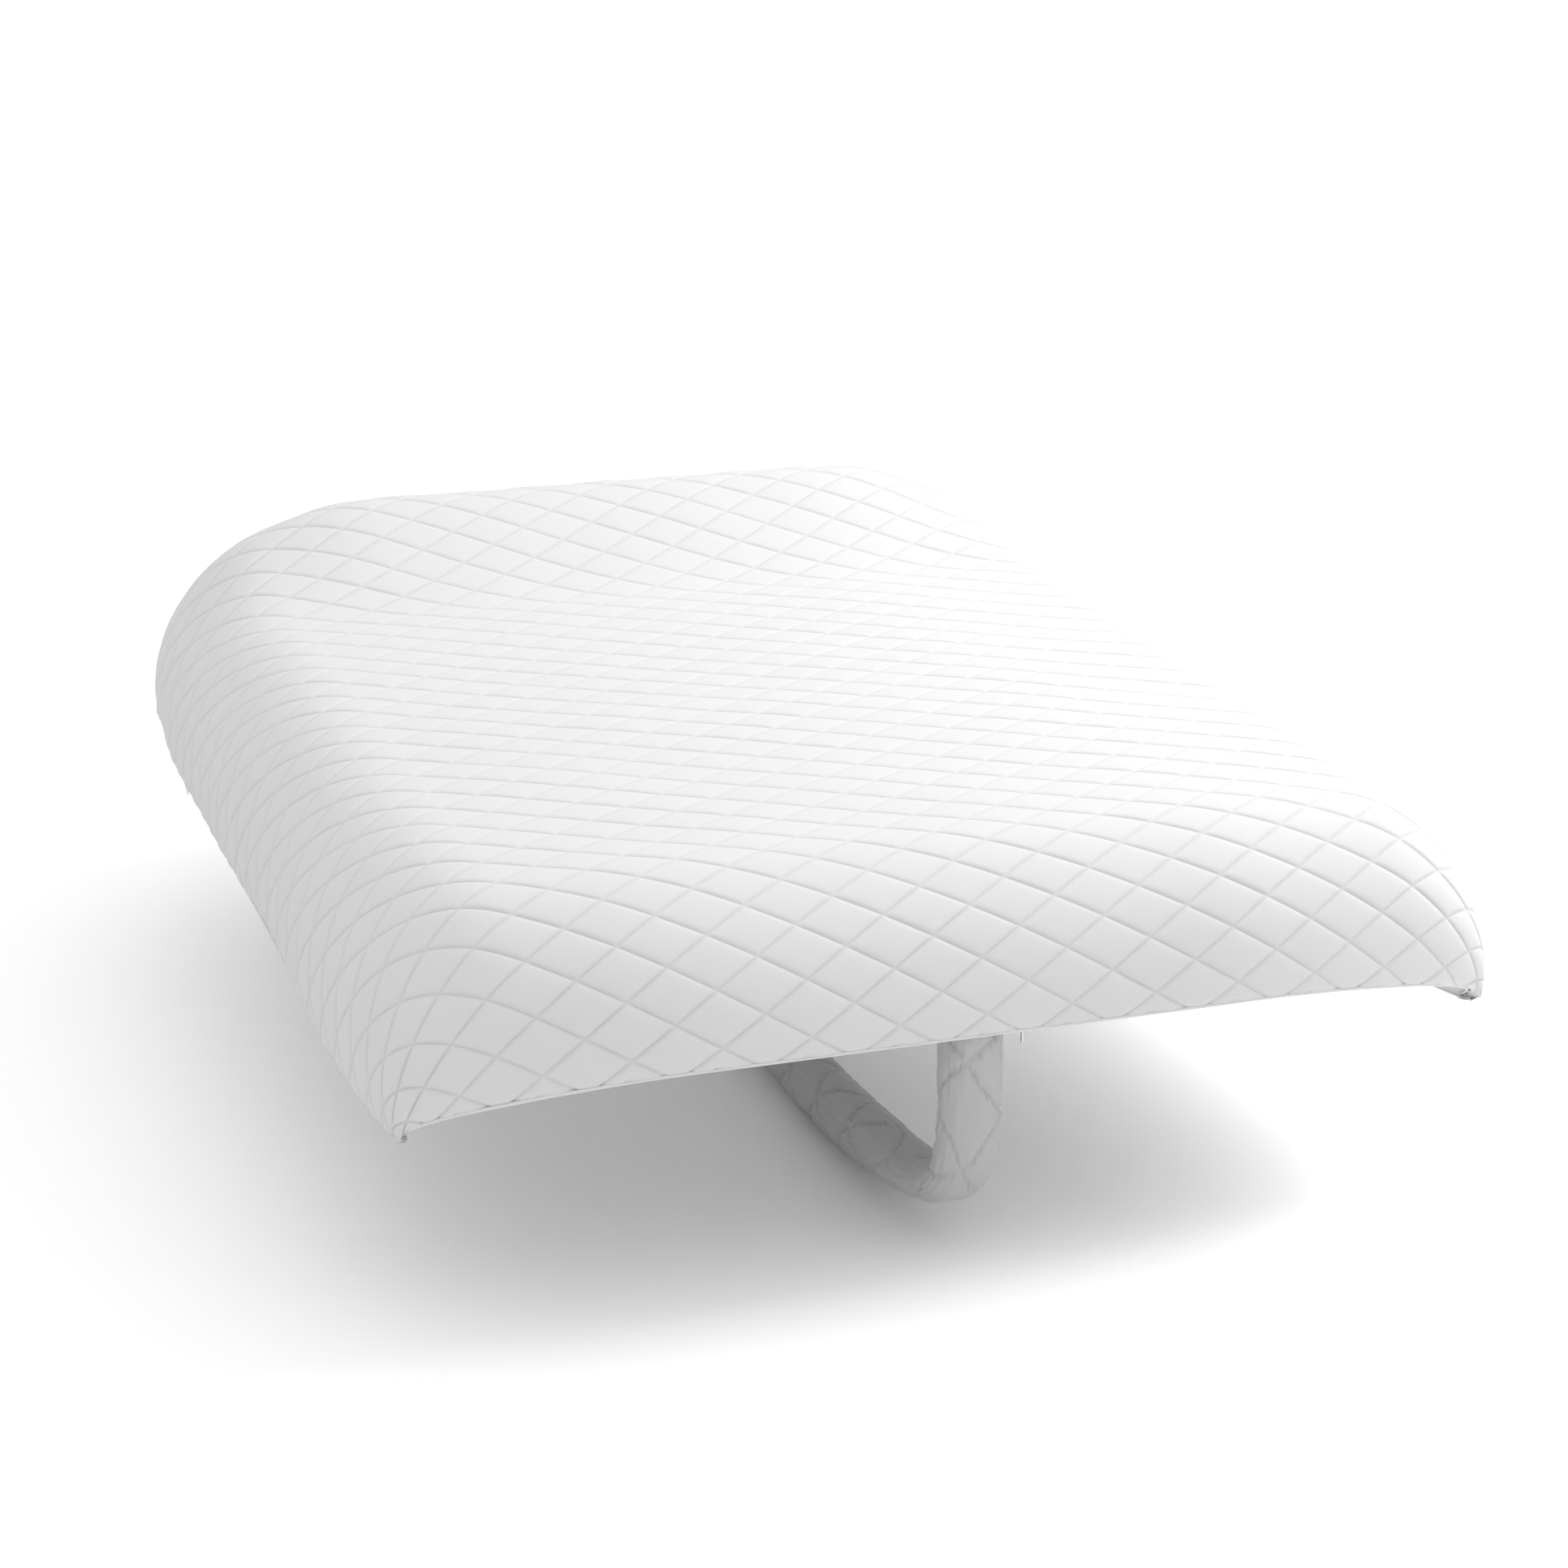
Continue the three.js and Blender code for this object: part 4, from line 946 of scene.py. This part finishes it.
# %% Lining
LINING_STEP, LINING_INSET, LINING_DEPTH = 0.014, 0.004, 0.975
lining_columns, lining_rows = int(CLOTH_SIZE[0] / LINING_STEP), int(CLOTH_SIZE[1] / LINING_STEP)
lining_across, lining_along = np.meshgrid(
    np.linspace(-HALF_CLOTH + LINING_INSET, HALF_CLOTH - LINING_INSET, lining_columns + 1),
    np.linspace(FOOT_HEM + LINING_INSET, HEAD_HEM - LINING_INSET, lining_rows + 1))
lining_a, lining_b = rounded(lining_across, lining_along)
lining_depth = LINING_DEPTH + 0.012 * soft_noise(lining_across, lining_along, 0.12, 8.2)
lining_points = drape(lining_a, lining_b, lining_depth).reshape(-1, 3)
lining_quads = grid_quads(lining_rows + 1, lining_columns + 1)[:, ::-1]
lining_mesh = mesh_from("lining", lining_points, lining_quads)
store_place(lining_mesh, "cloth_place", lining_a, lining_b)
lining = add_piece("plain_lining", lining_mesh, "duvet", ["bottom_cover"], plain_cloth)
thicken(lining, 0.0008)

# %% Gusset strips
HEM_STEP, ZIP_MIDDLE, ZIP_HALF, ZIP_FADE = 0.012, 0.16, 0.26, 0.05


def hem_point(across, along, depth, bulge):
    """A place on the gusset: on the hem at a depth, pushed out along the hanging cloth."""
    a, b = rounded(across, along)
    inner_along = along - np.sign(along - FLAT_LENGTH / 2) * HEM_STEP
    inner_a, inner_b = rounded(across * (1 - HEM_STEP), inner_along)
    on_hem = drape(a, b, depth)
    return on_hem + unit(on_hem - drape(inner_a, inner_b, depth)) * bulge[..., None]


def run_along(line):
    """The length of a line of points up to each point."""
    return np.cumsum(np.linalg.norm(np.diff(line, axis=0, prepend=line[:1]), axis=-1))


def gusset(name, across, along, nodes, bulge_size, step_count):
    """One strip of gusset along a stretch of hem."""
    depth = np.linspace(0.0, 0.985, step_count)[None, :]
    across, along = np.broadcast_arrays(across[:, None], along[:, None])
    across, along = across + 0 * depth, along + 0 * depth
    round_out = np.sin(math.pi * depth) ** 0.7 + 0 * across
    if "foot_gusset" in nodes:
        round_out = round_out * smooth((np.abs(across - ZIP_MIDDLE) - ZIP_HALF) / ZIP_FADE)
    pucker = 1 + 0.25 * soft_noise(across * 3, along * 3, 0.10, 1.1)
    round_out = round_out * smooth((corner_distance(across, along) - 0.03) / 0.14)
    points = hem_point(across, along, depth, bulge_size * round_out * pucker + 0.0015)
    mesh = mesh_from(name, points.reshape(-1, 3), grid_quads(len(across), step_count))
    store_place(mesh, "cloth_place", run_along(points[:, 0])[:, None], 0.06 * depth)
    store_place(mesh, "quilt_place", np.full(across.shape, 0.5), 0.5)
    piece = add_piece(name, mesh, "duvet", nodes, quilt_cloth)
    return thicken(piece, 0.0012)


hem_side = np.linspace(FOOT_HEM, HEAD_HEM, 300)
hem_end = np.linspace(-HALF_CLOTH, HALF_CLOTH, 560)
side_gussets = [
    gusset(f"gusset_{side}", edge + 0 * hem_side, hem_side, [f"{side}_gusset"], 0.008, 13)
    for side, edge in (("left", -HALF_CLOTH), ("right", HALF_CLOTH))]
head_gusset = gusset("gusset_head", hem_end, HEAD_HEM + 0 * hem_end, ["head_gusset"], 0.010, 21)
foot_gusset = gusset("gusset_foot", hem_end, FOOT_HEM + 0 * hem_end, ["foot_gusset"], 0.006, 27)

# %% Cut the inlet hole in the foot gusset
HOLE_RADIUS = 0.034
inside_hole = [v.index for v in foot_gusset.data.vertices
               if math.hypot(v.co.x - INLET[0], v.co.y - INLET[1]) < HOLE_RADIUS]


def cut_hole(work):
    """Takes out the points inside the inlet's hole."""
    work.verts.ensure_lookup_table()
    bmesh.ops.delete(work, geom=[work.verts[i] for i in inside_hole], context="VERTS")


reshape(foot_gusset.data, cut_hole)
print("points taken out for the inlet", len(inside_hole))

# %% [markdown]
# ## Binding
# A folded strip of cloth is sewn round the outer seam. From outside it reads as a thin bright line
# along the hem. It is a slim tube of a flattened section that follows the rounded hem all the way.

# %% Binding round the hem
BINDING_RADIUS, BINDING_STEPS, BINDING_OUT, BINDING_IN = 0.0024, 12, 0.0018, 0.0016
corner_along = np.linspace(FOOT_HEM, HEAD_HEM, 420)
corner_across = np.linspace(-HALF_CLOTH, HALF_CLOTH, 400)
side_zeros, end_zeros = 0 * corner_along[:-1], 0 * corner_across[:-1]
loop_across = np.concatenate([side_zeros + HALF_CLOTH, corner_across[::-1][:-1],
                              side_zeros - HALF_CLOTH, corner_across[:-1]])
loop_along = np.concatenate([corner_along[:-1], end_zeros + HEAD_HEM,
                             corner_along[::-1][:-1], end_zeros + FOOT_HEM])
loop_a, loop_b = rounded(loop_across, loop_along)
hem_out = outward(loop_a, loop_b)
hem_line = hem_point(loop_across, loop_along, 0 * loop_across, BINDING_OUT + 0 * loop_across)
uneven_line = 0.0006 * soft_noise(loop_across, loop_along, 0.05, 2.9) - BINDING_IN
hem_line = hem_line + hem_out * uneven_line[:, None]
for _ in range(3):
    hem_line = (np.roll(hem_line, 1, 0) + 2 * hem_line + np.roll(hem_line, -1, 0)) / 4
hem_tangent = unit(np.roll(hem_line, -1, 0) - np.roll(hem_line, 1, 0))
hem_out = unit(hem_out - hem_tangent * (hem_out * hem_tangent).sum(1)[:, None])
hem_down = np.cross(hem_tangent, hem_out)
turns = np.linspace(0, 2 * math.pi, BINDING_STEPS, endpoint=False)
rings = hem_line[:, None] + BINDING_RADIUS * (
    np.cos(turns)[None, :, None] * hem_out[:, None]
    + 1.15 * np.sin(turns)[None, :, None] * hem_down[:, None])
binding_mesh = mesh_from("binding", rings.reshape(-1, 3), ring_quads(len(hem_line), BINDING_STEPS))
store_place(binding_mesh, "cloth_place", run_along(hem_line)[:, None], BINDING_RADIUS * turns)
binding = add_piece("hem_binding", binding_mesh, "duvet", ["edge_piping"], binding_cloth)

# %% [markdown]
# ## The zip
# Under the foot edge, beside the inlet, a zip opens the gusset so the air layer can come out. Its
# tapes are woven strips, its teeth are small blocks on the two tapes that mesh, and the slider
# carries a pull that hangs from a pin.

# %% Rounded block helper
SMALL_BEVEL = 0.0004


def block(name, low, high, body, nodes, slot, look):
    """A box between two corners, with rounded edges."""
    mesh = bpy.data.meshes.new(name)
    maker = bmesh.new()
    bmesh.ops.create_cube(maker, size=1)
    size, middle = Vector(high) - Vector(low), (Vector(high) + Vector(low)) / 2
    for vertex in maker.verts:
        vertex.co = Vector([vertex.co[k] * size[k] + middle[k] for k in range(3)])
    bmesh.ops.bevel(
        maker, geom=maker.edges[:], offset=SMALL_BEVEL, segments=3, profile=0.5, affect="EDGES")
    maker.to_mesh(mesh)
    maker.free()
    return add_piece(name, mesh, body, nodes, look)


# %% Tapes
TAPE_ROWS, TAPE_COLUMNS = 400, 9
for tape in ("zip_tape_front", "zip_tape_back"):
    low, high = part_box(tape)
    x, y = np.meshgrid(np.linspace(low.x, high.x, TAPE_ROWS),
                       np.linspace(low.y, high.y, TAPE_COLUMNS), indexing="ij")
    z = high.z - 0.0001 - 0.0003 * np.abs(soft_noise(x, y, 0.02, 3.0))
    tape_quads = grid_quads(TAPE_ROWS, TAPE_COLUMNS)[:, ::-1]
    tape_mesh = mesh_from(tape, np.stack([x, y, z], -1).reshape(-1, 3), tape_quads)
    store_place(tape_mesh, "cloth_place", x, y)
    shown_name = tape.replace("tape", "woven_tape")
    thicken(add_piece(shown_name, tape_mesh, "duvet", [tape], tape_cloth), 0.0007)

# %% Teeth
teeth_low, teeth_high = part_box("zip_teeth")
TOOTH_STEP, TOOTH_OFFSET, TOOTH_SIZE = 0.004, 0.0007, (0.0026, 0.0042, 0.0034)
tooth_parts = bmesh.new()
middle_y, middle_z = (teeth_low.y + teeth_high.y) / 2, (teeth_low.z + teeth_high.z) / 2
for index in range(int((teeth_high.x - teeth_low.x) / TOOTH_STEP) - 1):
    side = 1 if index % 2 else -1
    tooth_x = teeth_low.x + (index + 1) * TOOTH_STEP
    centre = Vector((tooth_x, middle_y + side * TOOTH_OFFSET, middle_z))
    made = bmesh.ops.create_cube(tooth_parts, size=1)["verts"]
    for vertex in made:
        narrow = 0.7 if vertex.co.y * side < 0 else 1.0
        vertex.co = centre + vertex.co * Vector((TOOTH_SIZE[0] * narrow, *TOOTH_SIZE[1:]))
bmesh.ops.bevel(
    tooth_parts, geom=tooth_parts.edges[:], offset=SMALL_BEVEL, segments=2, profile=0.5, affect="EDGES")
teeth_mesh = bpy.data.meshes.new("zip_teeth_rows")
tooth_parts.to_mesh(teeth_mesh)
tooth_parts.free()
add_piece("zip_teeth_rows", teeth_mesh, "duvet", ["zip_teeth"], plastic_look)
for stop in ("zip_stop_start", "zip_stop_end"):
    block(stop + "_bead", *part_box(stop), "duvet", [stop], "metal", metal_look)

# %% Slider and pull keep their own shapes, with rounded edges
for node, body in (("zip_slider", "slider"), ("zip_pull", "pull")):
    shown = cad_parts[node]
    shown.data.materials.clear()
    shown.data.materials.append(metal_look)
    round_edges(shown, 0.0003)
    print(node, "keeps its packed shape")

# %% [markdown]
# ## Ties and label
# Short tapes sewn between the layers stop them sliding, and a blank satin label hangs at the left
# hem.

# %% Corner ties
for tie in [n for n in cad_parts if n.startswith("corner_tie")]:
    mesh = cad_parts[tie].data.copy()
    mesh.name = tie + "_tape"
    corners = np.array([v.co for v in mesh.vertices])
    store_place(mesh, "cloth_place", corners[:, 0], corners[:, 1] + corners[:, 2])
    round_edges(add_piece(tie + "_tape", mesh, "duvet", [tie], tape_cloth), 0.0006, segments=2)

# %% Care label
LABEL_ROWS, LABEL_COLUMNS = 17, 25
label_low, label_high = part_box("care_label")
ly, lz = np.meshgrid(np.linspace(label_low.y, label_high.y, LABEL_ROWS),
                     np.linspace(label_low.z, label_high.z, LABEL_COLUMNS), indexing="ij")
curl = 0.003 * np.sin(math.pi * (label_high.z - lz) / (label_high.z - label_low.z))
curl += 0.0008 * soft_noise(ly, lz, 0.012, 5.0)
lx = (label_low.x + label_high.x) / 2 + curl - 0.0012
label_points = np.stack([lx, ly, lz], -1).reshape(-1, 3)
label_mesh = mesh_from("care_label", label_points, grid_quads(LABEL_ROWS, LABEL_COLUMNS))
store_place(label_mesh, "cloth_place", ly, lz)
thicken(add_piece("blank_care_label", label_mesh, "duvet", ["care_label"], label_cloth), 0.0004)

# %% [markdown]
# ## Floor, light and surroundings
# The floor is plain and pale, 0.53 m below the duvet's underside. The surroundings are a soft sky
# that is brightest overhead, so what faces up is bright and what faces sideways is a soft grey. One
# broad light from the right makes the right side bright and lets the light fall off to the left.

# %% Floor
FLOOR_Z = -0.533
FLOOR_REACH = 60
floor_corners = [
    (x * FLOOR_REACH, y * FLOOR_REACH, FLOOR_Z) for x, y in ((-1, -1), (1, -1), (1, 1), (-1, 1))]
floor_mesh = mesh_from("floor", floor_corners, [(0, 1, 2, 3)])
floor = bpy.data.objects.new("Floor", floor_mesh)
bpy.context.scene.collection.objects.link(floor)
floor_look, floor_tree, floor_shader = new_material("floor", 0.9)
floor_shader.inputs["Base Color"].default_value = (0.97, 0.97, 0.97, 1)
floor_mesh.materials.append(floor_look)
floor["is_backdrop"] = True

# %% Lights and world
KEY_PLACE, KEY_TARGET, KEY_SIZE, KEY_POWER = (3.1, -0.5, 2.1), (0, -0.2, 0), 2.0, 105
SKY_RISE, SKY_BASE = 1.15, 0.34
key_data = bpy.data.lights.new("Key", "AREA")
key_data.shape, key_data.size, key_data.energy = "SQUARE", KEY_SIZE, KEY_POWER
key = bpy.data.objects.new("Key", key_data)
key.location = KEY_PLACE
key.rotation_euler = (Vector(KEY_TARGET) - Vector(KEY_PLACE)).to_track_quat("-Z", "Y").to_euler()
bpy.context.scene.collection.objects.link(key)
world = bpy.data.worlds.new("World")
world.use_nodes = True
world_tree = world.node_tree
direction = world_tree.nodes.new("ShaderNodeTexCoord").outputs["Generated"]
up_part = world_tree.nodes.new("ShaderNodeSeparateXYZ")
world_tree.links.new(direction, up_part.inputs[0])
height = math_node(world_tree, "MAXIMUM", up_part.outputs["Z"], 0.0)
ramp = math_node(world_tree, "MULTIPLY_ADD", height, SKY_RISE, SKY_BASE)
world_tree.links.new(ramp, world_tree.nodes["Background"].inputs["Strength"])
world_tree.nodes["Background"].inputs["Color"].default_value = (1, 1, 1, 1)
bpy.context.scene.world = world
bpy.context.scene.view_settings.view_transform = "Standard"
print("light", key.name, KEY_POWER, "W")

# %% [markdown]
# ## The size
# Cloth may stand a little proud of the imported model's box. The box of the visual model, without
# the floor, is printed.

# %% Sizes
low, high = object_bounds()
print("visual box", [round(v, 3) for v in low], [round(v, 3) for v in high])
